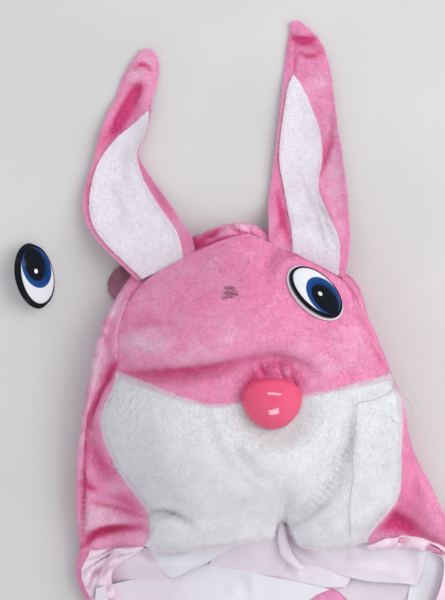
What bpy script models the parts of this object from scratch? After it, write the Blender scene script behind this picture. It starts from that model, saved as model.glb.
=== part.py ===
"""Child's hooded bunny costume, laid on its back on a flat surface.

The garment is a plush one-piece with a padded hood: a forehead panel and a white
muzzle over a hollow, two long ears, a plastic nose, one glued eye and one eye that
has come off and lies beside it.  Below the face opening the body, sleeves and legs
lie flat, front on back.  Tables are in millimetres about the nose, x to the right,
y towards the ears, z up from the surface; the meshes are made in metres.
"""

import math

import bmesh
import bpy
import numpy as np

MM = 0.001
SEAM = 0.4  # gap left where two pieces meet
CLOTH = 2.2  # plush with its knitted back
FOREHEAD_WALL = 2.6
MUZZLE_WALL = 4.0  # plush over a foam interlining
RIM_TAPER = 0.3  # share of a padded wall lost towards its seam
LINING = 1.0
WHITE_EAR = 1.3

NECK_Y = -224.0
NECK_HALF = 97.0
SPINE_X = -16.0  # centre back seam of the hood
CROWN_Y = 51.0  # where the centre back seam starts to turn up over the crown
NOSE_Z = 80.0
SHANK_HOLE = 4.2
NOSE_CLEAR = 26.0  # radius pressed flat under the nose
DOME_POWER = 3.4

# Hood side rows, anticlockwise from the left end of the neck over the crown:
# seam or opening edge x, y, z; slot for an ear; outermost x, y, z; depth of the valley
HOOD_ROWS = (
    (-78, -224, 9, 0, -95, -224, 4.5, 0),  # left neck
    (-95, -195, 12, 0, -121, -192, 7, 1),
    (-117, -163, 16, 0, -145, -160, 9, 2),
    (-125, -136, 20, 0, -154, -137, 11, 3),
    (-99, -114, 27, 0, -151, -118, 15, 8),  # left foot of the muzzle
    (-96, -89, 33, 0, -153, -92, 19, 9),
    (-120, -54, 37, 0, -153, -58, 24, 8),
    (-133, -16, 41, 0, -149, -19, 26, 6),
    (-120, 21, 46, 0, -142, 22, 29, 6),  # left corner of the forehead
    (-117, 62, 46, 0, -130, 64, 30, 3),
    (-98, 94, 28, 7.4, -104, 104, 17, 0),  # outer end of the left ear
    (-56, 118, 28, 7.4, -61, 128, 16, 0),
    (-24, 130, 36, 0, -25, 139, 24, 0),  # crown
    (-5, 126, 28, 7.4, -4, 134, 14, 0),
    (56, 95, 28, 7.4, 62, 99, 15, 0),  # outer end of the right ear
    (74, 64, 37, 0, 78, 65, 20, 0),
    (94, 19, 38, 0, 96.5, 19.5, 22, 0),  # right corner of the forehead
    (102.5, -3, 38, 0, 105, -3, 22, 0),
    (102.5, -37, 37, 0, 112, -36, 18, 3),
    (100, -76, 33, 0, 128, -69, 17, 5),
    (77, -111, 27, 0, 140, -94, 15, 6),  # right foot of the muzzle
    (110, -112, 21, 0, 155, -119, 13, 3),
    (141, -128, 16, 0, 168, -154, 11, 2),
    (128, -176, 13, 0, 153, -196, 8, 1),
    (78, -224, 9, 0, 98, -224, 4.5, 0),  # right neck
)
FOOT_LEFT, CORNER_LEFT, CROWN_ROW, CORNER_RIGHT, FOOT_RIGHT = 4, 8, 12, 16, 20

# Free lower edge of the muzzle between its two feet, from right to left: x, y, z
MUZZLE_HEM = (
    (77, -111, 27),
    (51, -117, 31),
    (24, -114, 36),
    (11, -105, 40),
    (-12, -111, 40),
    (-51, -117, 36),
    (-84, -119, 30),
    (-99, -114, 27),
)

# Turn of the seam about the nose in degrees, by its share of the way to the rim
SEAM_ANGLE = 170.5
SEAM_BOW = (
    (0.0, 6.0),
    (0.19, 8.5),
    (0.28, 12.6),
    (0.38, 12.5),
    (0.47, 9.4),
    (0.61, 6.2),
    (0.71, 3.8),
    (0.81, 2.0),
    (0.91, 0.7),
    (1.0, 0.0),
)

# Padded swellings of the front: x, y, radius x, radius y, height
BULGES = (
    (-24, 62, 62, 34, 12),  # forehead
    (48, 50, 34, 32, 5),
    (9, -42, 40, 40, 15),  # snout below the nose
    (-76, -40, 44, 46, 12),  # left cheek
    (78, -38, 26, 44, 9),  # right cheek
)

# Soft valleys and ridges: start x, y, middle x, y, end x, y, width, height
FRONT_FOLDS = (
    (-116, 20, -62, 20, -14, 32, 7, -7),  # under the brow, left
    (-14, 32, 8, 34, 30, 26, 7, -6),  # under the brow, over the nose
    (-112, 32, -60, 34, -16, 44, 10, 4),  # the brow itself
    (60, 2, 64, -50, 14, -96, 5, -8),  # right side of the snout
    (-40, -6, -34, -52, 10, -70, 9, -2),  # left side of the snout
    (11, -70, 12, -90, 11, -103, 5, -3),  # seam under the chin
    (-97, -88, -80, -78, -66, -90, 9, -5),  # pinch in the left cheek
)

# Cloth pressed flat under a hard piece: x, y, half length, half width, turn, z, slope x, y
EYE_SEAT = (34, 83, 31.0, 22.0, -45.0, 63.0, -0.40, -0.46)
NOSE_SEAT = (0, 0, 27.0, 27.0, 0.0, NOSE_Z, 0.0, 0.0)
SEATS = (EYE_SEAT, NOSE_SEAT)

# Ear rows from the tip to the base: left x, y, right x, y, underside z at left, middle
# and right, then where the white panel starts and ends as shares of the width
LEFT_EAR = (
    (-101, 279, -94, 279, 1.5, 1.5, 1.5, 0.5, 0.5),
    (-109, 270, -89, 269, 1.0, 3.0, 1.5, 0.5, 0.5),
    (-117, 257, -89, 255, 0.0, 4.0, 1.0, 0.5, 0.5),
    (-122, 242, -93, 241, 0.5, 3.0, 3.5, 0.5, 0.5),
    (-129, 228, -95, 227, 3.0, 1.0, 6.0, 0.8, 0.9),
    (-135, 211, -99, 210, 5.0, 0.0, 7.0, 0.58, 0.97),
    (-141, 188, -105, 196, 5.0, 0.0, 6.0, 0.27, 0.96),
    (-147, 167, -97, 180, 6.0, 0.0, 5.0, 0.14, 0.85),
    (-148, 150, -83, 160, 8.0, 2.0, 7.0, 0.10, 0.81),
    (-143, 135, -72, 144, 12.0, 9.0, 13.0, 0.06, 0.82),
    (-130, 119, -63, 131, 22.0, 20.0, 24.0, 0.08, 0.81),
    (-104, 94, -59, 115, 28.9, 28.9, 28.9, 0.08, 0.79),
)
RIGHT_EAR = (
    (17, 301, 23, 302, 1.5, 1.5, 1.5, 0.5, 0.5),
    (16, 292, 35, 292, 0.0, 2.5, 1.0, 0.5, 0.5),
    (14, 280, 42, 282, 0.0, 3.5, 1.5, 0.5, 0.5),
    (12, 264, 48, 264, 0.0, 2.5, 2.5, 0.5, 0.5),
    (10, 243, 51, 243, 3.0, 1.0, 4.0, 0.10, 0.46),
    (7, 218, 54, 218, 4.0, 0.0, 5.5, 0.05, 0.69),
    (4, 193, 58, 193, 4.0, 0.0, 6.0, 0.08, 0.69),
    (1, 170, 61, 170, 3.0, 0.0, 7.0, 0.18, 0.63),
    (-1, 155, 63, 143, 5.0, 3.0, 11.0, 0.24, 0.75),
    (-1, 141, 63, 122, 20.0, 19.0, 22.0, 0.28, 0.87),
    (-1, 124, 58, 96, 29.1, 29.0, 28.9, 0.32, 0.92),
)
LEFT_EAR_WHITE_FROM, RIGHT_EAR_WHITE_FROM = 4, 4

EAR_FOLDS = (
    (-104, 246, -112, 222, -136, 202, 5, -3),  # under the turned flap, left ear
    (9, 190, 22, 166, 36, 128, 5, -2.5),  # slack in the white, right ear
    (20, 284, 30, 284, 40, 280, 4, -2),
)

# Centre panels of the body, one half: inner x, y and outer x, y below the neck
BODY_ROWS = (
    (0, 0, 172, -28),  # shoulder tip
    (0, -60, 167, -75),
    (0, -115, 171, -125),
    (0, -165, 187, -170),  # underarm
    (0, -255, 181, -260),
    (0, -335, 177, -340),
    (0, -425, 188, -430),
    (0, -510, 197, -520),  # crotch
    (26, -640, 192, -640),
    (44, -740, 182, -740),
    (56, -838, 172, -832),  # leg hem
)
ARMHOLE_END, CROTCH = 3, 7
BODY_PUFF = 3.1  # air between front and back
CUFF_TOP, CUFF_BOTTOM = (452, -238), (396, -318)
SLEEVE_HEIGHT = 8.0
PLACKET_HALF, PLACKET_CLOTH = 16.0, 1.6
BODY_FOLDS = (
    (40, -70, 90, -110, 150, -118, 14, 1.6),  # from the armhole
    (20, -330, 90, -345, 165, -330, 16, 1.5),  # waist
    (30, -500, 80, -470, 170, -480, 15, 1.6),  # crotch pull
    (90, -600, 110, -680, 100, -780, 14, 1.4),  # leg
)

# Plastic eye: half length and width, flange, dome, and the glue on the loose one's back
EYE_HALF_LENGTH, EYE_HALF_WIDTH = 26.5, 17.5
EYE_FLANGE, EYE_DOME = 3.0, 5.5
GLUE_RADIUS, GLUE_HEIGHT = 6.8, 5.2
LOOSE_EYE = (-189, 99)
LOOSE_EYE_TURN, LOOSE_EYE_TILT = 101.0, 26.0

NOSE_HALF_WIDTH, NOSE_HALF_HEIGHT, NOSE_DOME = 23.0, 20.0, 17.0
SHANK_RADIUS, SHANK_LENGTH = 3.2, 9.0

MATERIALS = {
    "pink plush": ((0.78, 0.22, 0.46), 0.9),
    "white plush": ((0.72, 0.73, 0.76), 0.9),
    "lining": ((0.76, 0.62, 0.70), 0.6),
    "nose plastic": ((0.84, 0.09, 0.20), 0.12),
    "eye plastic": ((0.80, 0.80, 0.80), 0.15),
}


def spline(rows, at):
    """Catmull-Rom curve through the rows of a table, read at fractional row numbers."""
    rows = np.asarray(rows, float)
    at = np.clip(np.asarray(at, float), 0, len(rows) - 1)
    k = np.minimum(at.astype(int), len(rows) - 2)
    f = (at - k)[:, None]
    ends = np.vstack([2 * rows[:1] - rows[1:2], rows, 2 * rows[-1:] - rows[-2:-1]])
    a, b, c, d = ends[k], ends[k + 1], ends[k + 2], ends[k + 3]
    return 0.5 * (
        2 * b + (c - a) * f + (2 * a - 5 * b + 4 * c - d) * f**2
        + (3 * b - a - 3 * c + d) * f**3
    )


def smooth(t):
    """0 to 1 with level ends."""
    t = np.clip(t, 0, 1)
    return t * t * (3 - 2 * t)


def folds(x, y, table):
    """Sum of soft ridges (height above 0) and valleys, each along a curve of three points."""
    total = np.zeros(np.shape(x))
    for x0, y0, xm, ym, x1, y1, width, height in table:
        t = np.linspace(0, 1, 25)
        cx = (1 - t) ** 2 * x0 + 2 * t * (1 - t) * xm + t**2 * x1
        cy = (1 - t) ** 2 * y0 + 2 * t * (1 - t) * ym + t**2 * y1
        away = (x[..., None] - cx) ** 2 + (y[..., None] - cy) ** 2
        near = np.exp(-away / width**2) * np.sin(np.pi * (0.12 + 0.76 * t))
        total += height * near.max(axis=-1)
    return total


def normals_of(grid):
    """Unit normals of a grid of points, from the differences along its two ways."""
    across = np.cross(np.gradient(grid, axis=0), np.gradient(grid, axis=1))
    return across / np.maximum(np.linalg.norm(across, axis=2, keepdims=True), 1e-9)


def pull_in(grid, ends, amount=SEAM / 2):
    """The grid with the named edge lines moved towards the line next to them."""
    grid = grid.copy()
    for axis, end in ends:
        lines = np.moveaxis(grid, axis, 0)
        edge, inner = (0, 1) if end == 0 else (-1, -2)
        step = lines[inner] - lines[edge]
        length = np.maximum(np.linalg.norm(step, axis=1, keepdims=True), 1e-9)
        lines[edge] += step / length * np.minimum(amount, 0.45 * length)
    return grid


class Outline:
    """Rim of the padded front about the nose, in polar form, for reading any point."""

    def __init__(self, rim):
        angle = np.arctan2(rim[:, 1], rim[:, 0])
        order = np.argsort(angle)
        self.angle = angle[order]
        self.reach = np.hypot(rim[order, 0], rim[order, 1])
        self.z = rim[order, 2]

    def share(self, x, y):
        """Distance from the nose as a share of the way to the rim, and the rim's height."""
        angle = np.arctan2(y, x)
        reach = np.interp(angle, self.angle, self.reach, period=2 * math.pi)
        height = np.interp(angle, self.angle, self.z, period=2 * math.pi)
        return np.clip(np.hypot(x, y) / reach, 0, 1), height


def front_height(x, y, outline):
    """Height of the hood's padded front: a dome on the rim, with bulges, folds and seats."""
    share, rim = outline.share(x, y)
    z = rim + (NOSE_Z - rim) * (1 - share**DOME_POWER)
    fade = 1 - share**5
    for bx, by, rx, ry, height in BULGES:
        z += height * fade * np.exp(-(((x - bx) / rx) ** 2) - ((y - by) / ry) ** 2)
    z += folds(x, y, FRONT_FOLDS) * (1 - share**8)
    for sx, sy, length, width, turn, seat, slope_x, slope_y in SEATS:
        c, s = math.cos(math.radians(turn)), math.sin(math.radians(turn))
        along = ((x - sx) * c + (y - sy) * s) / length
        aside = ((y - sy) * c - (x - sx) * s) / width
        inside = 1 - smooth((np.hypot(along, aside) - 1.0) / 0.45)
        z = z * (1 - inside) + inside * (seat + slope_x * (x - sx) + slope_y * (y - sy))
    return z


def hood_profile(row, sides, under):
    """Profile of the hood's side: out from the seam, round the edge, under to the surface."""
    rx, ry, rz, _slot, ex, ey, ez, dip = row
    f = np.linspace(0, 1, sides)
    out = np.sin(f * math.pi / 2)[:, None]
    side = np.hstack([(1 - out) * [rx, ry] + out * [ex, ey], np.zeros((sides, 1))])
    side[:, 2] = ez + (rz - ez) * np.cos(f * math.pi / 2) ** 1.3
    side[:, 2] -= dip * np.sin(np.pi * np.minimum(f / 0.62, 1)) ** 2
    g = np.linspace(0, 1, under + 1)[1:]
    way = np.array([rx - ex, ry - ey]) / math.hypot(rx - ex, ry - ey)
    inset = min(1.3 * ez, 30.0)
    turn = (1 - np.cos(g * math.pi / 2))[:, None]
    edge = np.array([ex, ey])
    below = np.hstack([edge + inset * turn * way, np.zeros((under, 1))])
    below[:, 2] = ez * (1 - np.sin(g * math.pi / 2))
    below[-1, 2] = 0.0
    return np.vstack([side, below])


def hood_rows(steps, first=0, last=len(HOOD_ROWS) - 1):
    """Rows of the hood's side table, read smoothly at several steps an interval."""
    rows = spline(HOOD_ROWS, np.linspace(first, last, (last - first) * steps + 1))
    rows[:, 3] = np.maximum(rows[:, 3], 0)
    return rows


def hood_sides(steps, sides, under):
    """Grid of the hood's back and sides: one line for each row, seam to centre back."""
    rows = hood_rows(steps)
    lines = []
    for row in rows:
        profile = hood_profile(row, sides, under)
        centre = np.array([SPINE_X, min(row[5], CROWN_Y), 0.0])
        last = profile[-1]
        inner = [last + (centre - last) * share for share in (0.5, 1.0)]
        lines.append(np.vstack([profile, inner]))
    return np.array(lines)


def face_rim(steps):
    """Closed rim of the padded front, from the left foot round the crown and along the hem."""
    upper = hood_rows(steps, FOOT_LEFT, FOOT_RIGHT)
    upper = np.column_stack([upper[:, 0], upper[:, 1], upper[:, 2] + upper[:, 3]])
    hem = spline(MUZZLE_HEM, np.linspace(0, 7, 7 * (steps - 1) + 1))
    return np.vstack([upper, hem[1:-1]])


def face_grid(steps, rings):
    """Grid of the padded front: one line for each rim point, from the nose's shank out.

    The lines near the left corner bow towards the chin, as the seam between the forehead
    and the muzzle does there.
    """
    rim = face_rim(steps)
    outline = Outline(face_rim(12))
    reach = np.hypot(rim[:, 0], rim[:, 1])
    close = np.array([SHANK_HOLE, 0.5 * (SHANK_HOLE + NOSE_CLEAR), NOSE_CLEAR])
    rest = np.linspace(0, 1, rings - 2)[None, 1:]
    near = close[None, :] / reach[:, None]
    share = np.hstack([near, near[:, -1:] * (1 - rest) + rest])
    angle = np.arctan2(rim[:, 1], rim[:, 0])[:, None]
    aside = np.angle(np.exp(1j * (angle - math.radians(SEAM_ANGLE))))
    bow = np.interp(share, *np.transpose(SEAM_BOW)) * np.exp(-((aside / 0.5) ** 2))
    angle = angle + np.radians(bow)
    x = np.cos(angle) * reach[:, None] * share
    y = np.sin(angle) * reach[:, None] * share
    grid = np.stack([x, y, front_height(x, y, outline)], axis=2)
    grid[:, -1, 2] = rim[:, 2]
    return grid, outline


def wrapped(grid, first, last):
    """Lines first to last of a closed grid, going round past its end."""
    return grid[np.arange(first, last + 1) % len(grid)]


def add_object(name, points, faces, material_name):
    """Mesh object in metres, its doubles merged and its faces turned outwards."""
    mesh = bpy.data.meshes.new(name)
    mesh.from_pydata((np.asarray(points) * MM).tolist(), [], faces)
    shape = bmesh.new()
    shape.from_mesh(mesh)
    bmesh.ops.remove_doubles(shape, verts=shape.verts, dist=0.00002)
    bmesh.ops.dissolve_degenerate(shape, edges=shape.edges, dist=0.00001)
    bmesh.ops.recalc_face_normals(shape, faces=shape.faces)
    shape.to_mesh(mesh)
    shape.free()
    mesh.shade_smooth()
    mesh.set_sharp_from_angle(angle=math.radians(50))
    colour, roughness = MATERIALS[material_name]
    material = bpy.data.materials.get(material_name) or bpy.data.materials.new(material_name)
    material.use_nodes = True
    shader = material.node_tree.nodes["Principled BSDF"]
    shader.inputs["Base Color"].default_value = (*colour, 1.0)
    shader.inputs["Roughness"].default_value = roughness
    mesh.materials.append(material)
    thing = bpy.data.objects.new(name, mesh)
    bpy.context.scene.collection.objects.link(thing)
    return thing


def wall(name, outer, inner, material_name, tube=False):
    """Closed wall between two grids of points; a tube's lines join round from last to first."""
    n, m = outer.shape[:2]
    points = np.vstack([outer.reshape(-1, 3), inner.reshape(-1, 3)])
    back = n * m
    faces = []
    for i in range(n if tube else n - 1):
        for j in range(m - 1):
            a, b = i * m + j, (i + 1) % n * m + j
            faces.append((a, b, b + 1, a + 1))
            faces.append((back + a, back + a + 1, back + b + 1, back + b))
        for j in (0, m - 1):
            a, b = i * m + j, (i + 1) % n * m + j
            faces.append((a, back + a, back + b, b))
    if not tube:
        for i in (0, n - 1):
            for j in range(m - 1):
                a = i * m + j
                faces.append((a, a + 1, back + a + 1, back + a))
    return add_object(name, points, faces, material_name)


def face_with_normals(steps, rings):
    """Grid of the padded front and its normals, the rim's shared with the hood's sides."""
    grid, _outline = face_grid(steps, rings)
    beyond = grid[:, -1:] * 2 - grid[:, -2:-1]
    upper = hood_rows(steps, FOOT_LEFT, FOOT_RIGHT)
    for i, row in enumerate(upper):
        beyond[i, 0] = hood_profile(row, 5, 4)[1] + [0, 0, row[3]]
    around = np.concatenate([grid[-1:], grid, grid[:1]])
    outside = np.concatenate([beyond[-1:], beyond, beyond[:1]])
    normals = normals_of(np.concatenate([around, outside], axis=1))[1:-1, :-1]
    return grid, normals


def make_face(steps=3, rings=10):
    """The forehead and the muzzle, each a padded panel between seams."""
    grid, normals = face_with_normals(steps, rings)
    first = (CORNER_LEFT - FOOT_LEFT) * steps
    last = (CORNER_RIGHT - FOOT_LEFT) * steps
    count = len(grid)
    edges = ((0, 0), (0, 1), (1, 1))
    for name, a, b, thick, material_name in (
        ("forehead", first, last, FOREHEAD_WALL, "pink plush"),
        ("muzzle", last, first + count, MUZZLE_WALL, "white plush"),
    ):
        outer = wrapped(grid, a, b)
        taper = 1 - RIM_TAPER * np.linspace(0, 1, outer.shape[1])[None, :, None] ** 4
        inner = outer - wrapped(normals, a, b) * thick * taper
        wall(name, pull_in(outer, edges), pull_in(inner, edges), material_name)


def make_hood_back(steps=3, sides=5, under=4):
    """Left and right halves of the hood's back, each round to the seams of the face."""
    grid = hood_sides(steps, sides, under)
    before = 2 * grid[:, 0] - grid[:, 1]
    face, face_normals = face_with_normals(steps, 10)
    shared = slice(FOOT_LEFT * steps, FOOT_RIGHT * steps + 1)
    before[shared] = face[: (FOOT_RIGHT - FOOT_LEFT) * steps + 1, -2]
    normals = normals_of(np.concatenate([before[:, None], grid], axis=1))[:, 1:]
    normals[:, -2:] = (0, 0, -1)
    normals[shared, 0] = face_normals[: (FOOT_RIGHT - FOOT_LEFT) * steps + 1, -1]
    normals[[0, -1], :, 1] = 0
    inner = grid - normals * CLOTH
    middle = CROWN_ROW * steps
    for name, a, b, side in (
        ("hood_back_left", 0, middle, -1),
        ("hood_back_right", middle, len(grid) - 1, 1),
    ):
        shift = np.zeros((b - a + 1, grid.shape[1], 3))
        shift[:, -1, 0] = side * SEAM / 2
        shift[middle - a, :, 0] = side * SEAM / 2
        edges = ((1, 0),)
        wall(
            name,
            pull_in(grid[a : b + 1] + shift, edges),
            pull_in(inner[a : b + 1] + shift, edges),
            "pink plush",
        )


def ear_surface(table, at, across):
    """Underside of an ear: rows read along it, bent across by their three heights."""
    rows = spline(table, at)
    u = np.broadcast_to(across, (len(rows), len(across)))
    x = rows[:, 0:1] * (1 - u) + rows[:, 2:3] * u
    y = rows[:, 1:2] * (1 - u) + rows[:, 3:4] * u
    left, mid, right = rows[:, 4:5], rows[:, 5:6], rows[:, 6:7]
    z = left * (1 - u) * (1 - 2 * u) + 4 * mid * u * (1 - u) + right * u * (2 * u - 1)
    z = z + folds(x, y, EAR_FOLDS) * np.minimum(1, 4 * u * (1 - u))
    return np.stack([x, y, np.maximum(z, 0)], axis=2), rows


def make_ear(side, table, white_from, steps=2, across=9):
    """An ear: the pink shell and the white panel that lies in it."""
    end = len(table) - 1
    at = np.linspace(0, end, end * steps + 1)
    under, rows = ear_surface(table, at, np.linspace(0, 1, across))
    wall(f"ear_{side}", under, under + [0, 0, CLOTH], "pink plush")
    first = int(white_from * steps)
    panel = []
    for line, row in zip(under[first:], rows[first:]):
        u = np.linspace(max(row[7], 0.03), min(row[8], 0.97), across)
        own = np.linspace(0, 1, across)
        panel.append(np.column_stack([np.interp(u, own, line[:, k]) for k in range(3)]))
    panel = np.array(panel) + [0, 0, CLOTH + 1.3 * SEAM]
    wall(f"ear_{side}_white", panel, panel + [0, 0, WHITE_EAR], "white plush")


def eye_solid(name, centre, turn, normal, glue):
    """Domed oval with a flat back, set on a plane; the loose one keeps its lump of glue."""
    count, rings = 24, 4
    angle = np.linspace(0, 2 * math.pi, count, endpoint=False)
    points, faces = [], []
    oval = np.column_stack([np.cos(angle) * EYE_HALF_LENGTH, np.sin(angle) * EYE_HALF_WIDTH])
    round_ring = np.column_stack([np.cos(angle), np.sin(angle)])
    if glue:
        lump = ((0.45, 1.0), (0.85, 0.6), (1.0, 0.0))
        levels = [(round_ring * GLUE_RADIUS * r, -GLUE_HEIGHT * h) for r, h in lump]
    else:
        levels = [(oval * 0.4, 0.0)]
    levels += [(oval * 0.97, 0.0), (oval, 0.6)]
    levels += [(oval, EYE_FLANGE - 0.6), (oval * 0.97, EYE_FLANGE)]
    for k in range(1, rings):
        a = k / rings * math.pi / 2
        levels.append((oval * 0.97 * math.cos(a), EYE_FLANGE + EYE_DOME * math.sin(a)))
    for ring, z in levels:
        points += [(px, py, z) for px, py in ring]
    for k in range(len(levels) - 1):
        for i in range(count):
            a, b = k * count + i, k * count + (i + 1) % count
            faces.append((a, b, b + count, a + count))
    faces.append(tuple(range(count)))
    points.append((0.0, 0.0, EYE_FLANGE + EYE_DOME))
    top = (len(levels) - 1) * count
    for i in range(count):
        faces.append((top + i, top + (i + 1) % count, len(points) - 1))
    up = np.asarray(normal, float) / np.linalg.norm(normal)
    heading = math.radians(turn)
    along = np.array([math.cos(heading), math.sin(heading), 0.0])
    along -= up * (along @ up)
    along /= np.linalg.norm(along)
    frame = np.array([along, np.cross(up, along), up])
    placed = np.array(points) @ frame + centre
    if glue:
        placed[:, 2] -= placed[:, 2].min()
    return add_object(name, placed, faces, "eye plastic")


def make_eyes():
    """The glued eye on its pressed-in seat, and the eye that lies beside the hood."""
    x, y, _length, _width, turn, z, slope_x, slope_y = EYE_SEAT
    normal = np.array([-slope_x, -slope_y, 1.0])
    normal /= np.linalg.norm(normal)
    lift = np.array([x, y, z]) + normal * 1.5 * SEAM
    eye_solid("eye_right", lift, turn, normal, glue=False)
    tilt, heading = math.radians(LOOSE_EYE_TILT), math.radians(LOOSE_EYE_TURN - 90)
    normal = np.array([math.cos(heading), math.sin(heading), 0.0]) * math.sin(tilt)
    normal[2] = math.cos(tilt)
    centre = np.array([LOOSE_EYE[0], LOOSE_EYE[1], 0.0])
    eye_solid("eye_left_loose", centre, LOOSE_EYE_TURN, normal, glue=True)


def nose_outline(angle):
    """Rounded triangle, wide at the top and narrow at the bottom."""
    c, s = np.cos(angle), np.sin(angle)
    x = NOSE_HALF_WIDTH * np.sign(c) * np.abs(c) ** 0.92 * (1 + 0.16 * s)
    return np.column_stack([x, NOSE_HALF_HEIGHT * s])


def make_nose():
    """Moulded nose: a dome on the rounded triangle, with a shank through the cloth."""
    count, rings = 32, 7
    angle = np.linspace(0, 2 * math.pi, count, endpoint=False)
    oval = nose_outline(angle)
    stem = np.column_stack([np.cos(angle), np.sin(angle)]) * SHANK_RADIUS
    levels = [(stem, -SHANK_LENGTH), (stem, SEAM), (oval * 0.86, SEAM), (oval * 0.95, 1.2)]
    levels.append((oval, 3.4))
    for k in range(1, rings):
        a = k / rings * math.pi / 2
        levels.append((oval * math.cos(a), 3.4 + (NOSE_DOME - 3.4) * math.sin(a)))
    points, faces = [], []
    for ring, z in levels:
        points += [(px, py, NOSE_Z + z) for px, py in ring]
    for k in range(len(levels) - 1):
        for i in range(count):
            a, b = k * count + i, k * count + (i + 1) % count
            faces.append((a, b, b + count, a + count))
    faces.append(tuple(range(count)))
    points.append((0.0, 0.0, NOSE_Z + NOSE_DOME))
    top = (len(levels) - 1) * count
    for i in range(count):
        faces.append((top + i, top + (i + 1) % count, len(points) - 1))
    add_object("nose", points, faces, "nose plastic")


def patch(top, bottom, left, right):
    """Coons patch between four boundary curves, each an array of points."""
    n, m = len(left), len(top)
    v = np.linspace(0, 1, n)[:, None, None]
    u = np.linspace(0, 1, m)[None, :, None]
    ruled = (1 - v) * top[None] + v * bottom[None] + (1 - u) * left[:, None] + u * right[:, None]
    corners = (1 - u) * (1 - v) * top[0] + u * (1 - v) * top[-1]
    corners = corners + (1 - u) * v * bottom[0] + u * v * bottom[-1]
    return ruled - corners


def read(points, count):
    """A smooth curve through a few points, as count points."""
    return spline(points, np.linspace(0, len(points) - 1, count))


LINING_BACK_EDGES = {
    "top": ((-118, -100), (0, -96), (112, -100)),
    "bottom": ((-96, -196), (-50, -200), (4, -184), (48, -151), (66, -164), (92, -186), (118, -190)),
    "left": ((-118, -100), (-122, -130), (-114, -160), (-96, -196)),
    "right": ((112, -100), (124, -124), (142, -154), (118, -190)),
}
LINING_FOLDS = (
    (-120, -138, -60, -146, 10, -136, 6, 3.0),
    (-60, -168, 0, -160, 60, -170, 8, 2.5),
    (70, -136, 100, -150, 138, -156, 6, 2.5),
)
LINING_FLAPS = {
    "lining_left": {
        "top": ((-104, -108, 20), (-60, -110, 22), (-16, -106, 24)),
        "bottom": ((-98, -128, 9), (-76, -143, 5), (-46, -128, 9), (-16, -112, 19)),
        "left": ((-104, -108, 20), (-102, -118, 14), (-98, -128, 9)),
        "right": ((-16, -106, 24), (-16, -109, 22), (-16, -112, 19)),
    },
    "lining_right": {
        "top": ((12, -100, 27), (44, -108, 22), (76, -108, 16), (104, -118, 13), (122, -126, 12)),
        "bottom": ((9, -121, 14), (34, -134, 6), (74, -143, 5), (98, -148, 5), (117, -149, 5)),
        "left": ((12, -100, 27), (10, -112, 20), (9, -121, 14)),
        "right": ((122, -126, 12), (120, -138, 8), (117, -149, 5)),
    },
}


def make_lining():
    """The thin lining that shows in the face opening: one sheet on the back, two flaps."""
    sides = {k: read(p, 17 if k in ("top", "bottom") else 11) for k, p in LINING_BACK_EDGES.items()}
    flat = patch(sides["top"], sides["bottom"], sides["left"], sides["right"])
    z = CLOTH + SEAM + np.maximum(folds(flat[..., 0], flat[..., 1], LINING_FOLDS), 0)
    under = np.dstack([flat, z])
    wall("lining_back", under, under + [0, 0, LINING], "lining")
    for name, edges in LINING_FLAPS.items():
        sides = {k: read(p, 13 if k in ("top", "bottom") else 6) for k, p in edges.items()}
        sheet = patch(sides["top"], sides["bottom"], sides["left"], sides["right"])
        floor = CLOTH + SEAM + LINING + SEAM
        floor = floor + np.maximum(folds(sheet[..., 0], sheet[..., 1], LINING_FOLDS), 0)
        sheet[..., 2] = np.maximum(sheet[..., 2], floor)
        wall(name, sheet, sheet + [0, 0, LINING], "lining")


def body_grid(side, rows_per, across, front):
    """Half of the body and one leg: the outline between its inner and outer edges."""
    count = (len(BODY_ROWS) - 1) * rows_per + 1
    rows = spline(BODY_ROWS, np.linspace(0, len(BODY_ROWS) - 1, count))
    rows[:, 0] = np.maximum(rows[:, 0], 0)
    neck = (NECK_HALF, -SEAM)
    if front:
        neck_curve = ((SEAM / 2, -16), (50, -12), (78, -5), neck)
    else:
        neck_curve = ((SEAM / 2, -SEAM), (50, -SEAM), (78, -SEAM), neck)
    near_neck = max(3, across // 2 + 1)
    top = np.vstack(
        [
            read(neck_curve, near_neck),
            read((neck, (135, -12), (172, -28)), across - near_neck + 1)[1:],
        ]
    )
    inner, outer = rows[:, 0:2].copy(), rows[:, 2:4].copy()
    inner[:, 0] += SEAM / 2
    shape = patch(top, read((inner[-1], outer[-1]), across), fix_start(inner, top[0]), outer)
    shape[..., 0] *= side
    shape[..., 1] += NECK_Y
    return shape


def fix_start(curve, start):
    """The curve with its first point moved, the move fading along it."""
    curve = curve.copy()
    fade = np.linspace(1, 0, len(curve))[:, None] ** 6
    return curve + fade * (np.asarray(start) - curve[0])


def body_rise(count, across):
    """Air under the front: full in the middle and at openings, none at sewn edges."""
    v = np.linspace(0, len(BODY_ROWS) - 1, count)[:, None]
    u = np.linspace(0, 1, across)[None, :]
    outer = smooth(v - ARMHOLE_END)
    inner = smooth(v - CROTCH + 0.3)
    shoulder = smooth((u - 0.5) / 0.15) * (1 - smooth(v / 0.9))
    air = (1 - outer * u**5) * (1 - inner * (1 - u) ** 5) * (1 - shoulder)
    return BODY_PUFF * np.clip(air, 0, 1)


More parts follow.
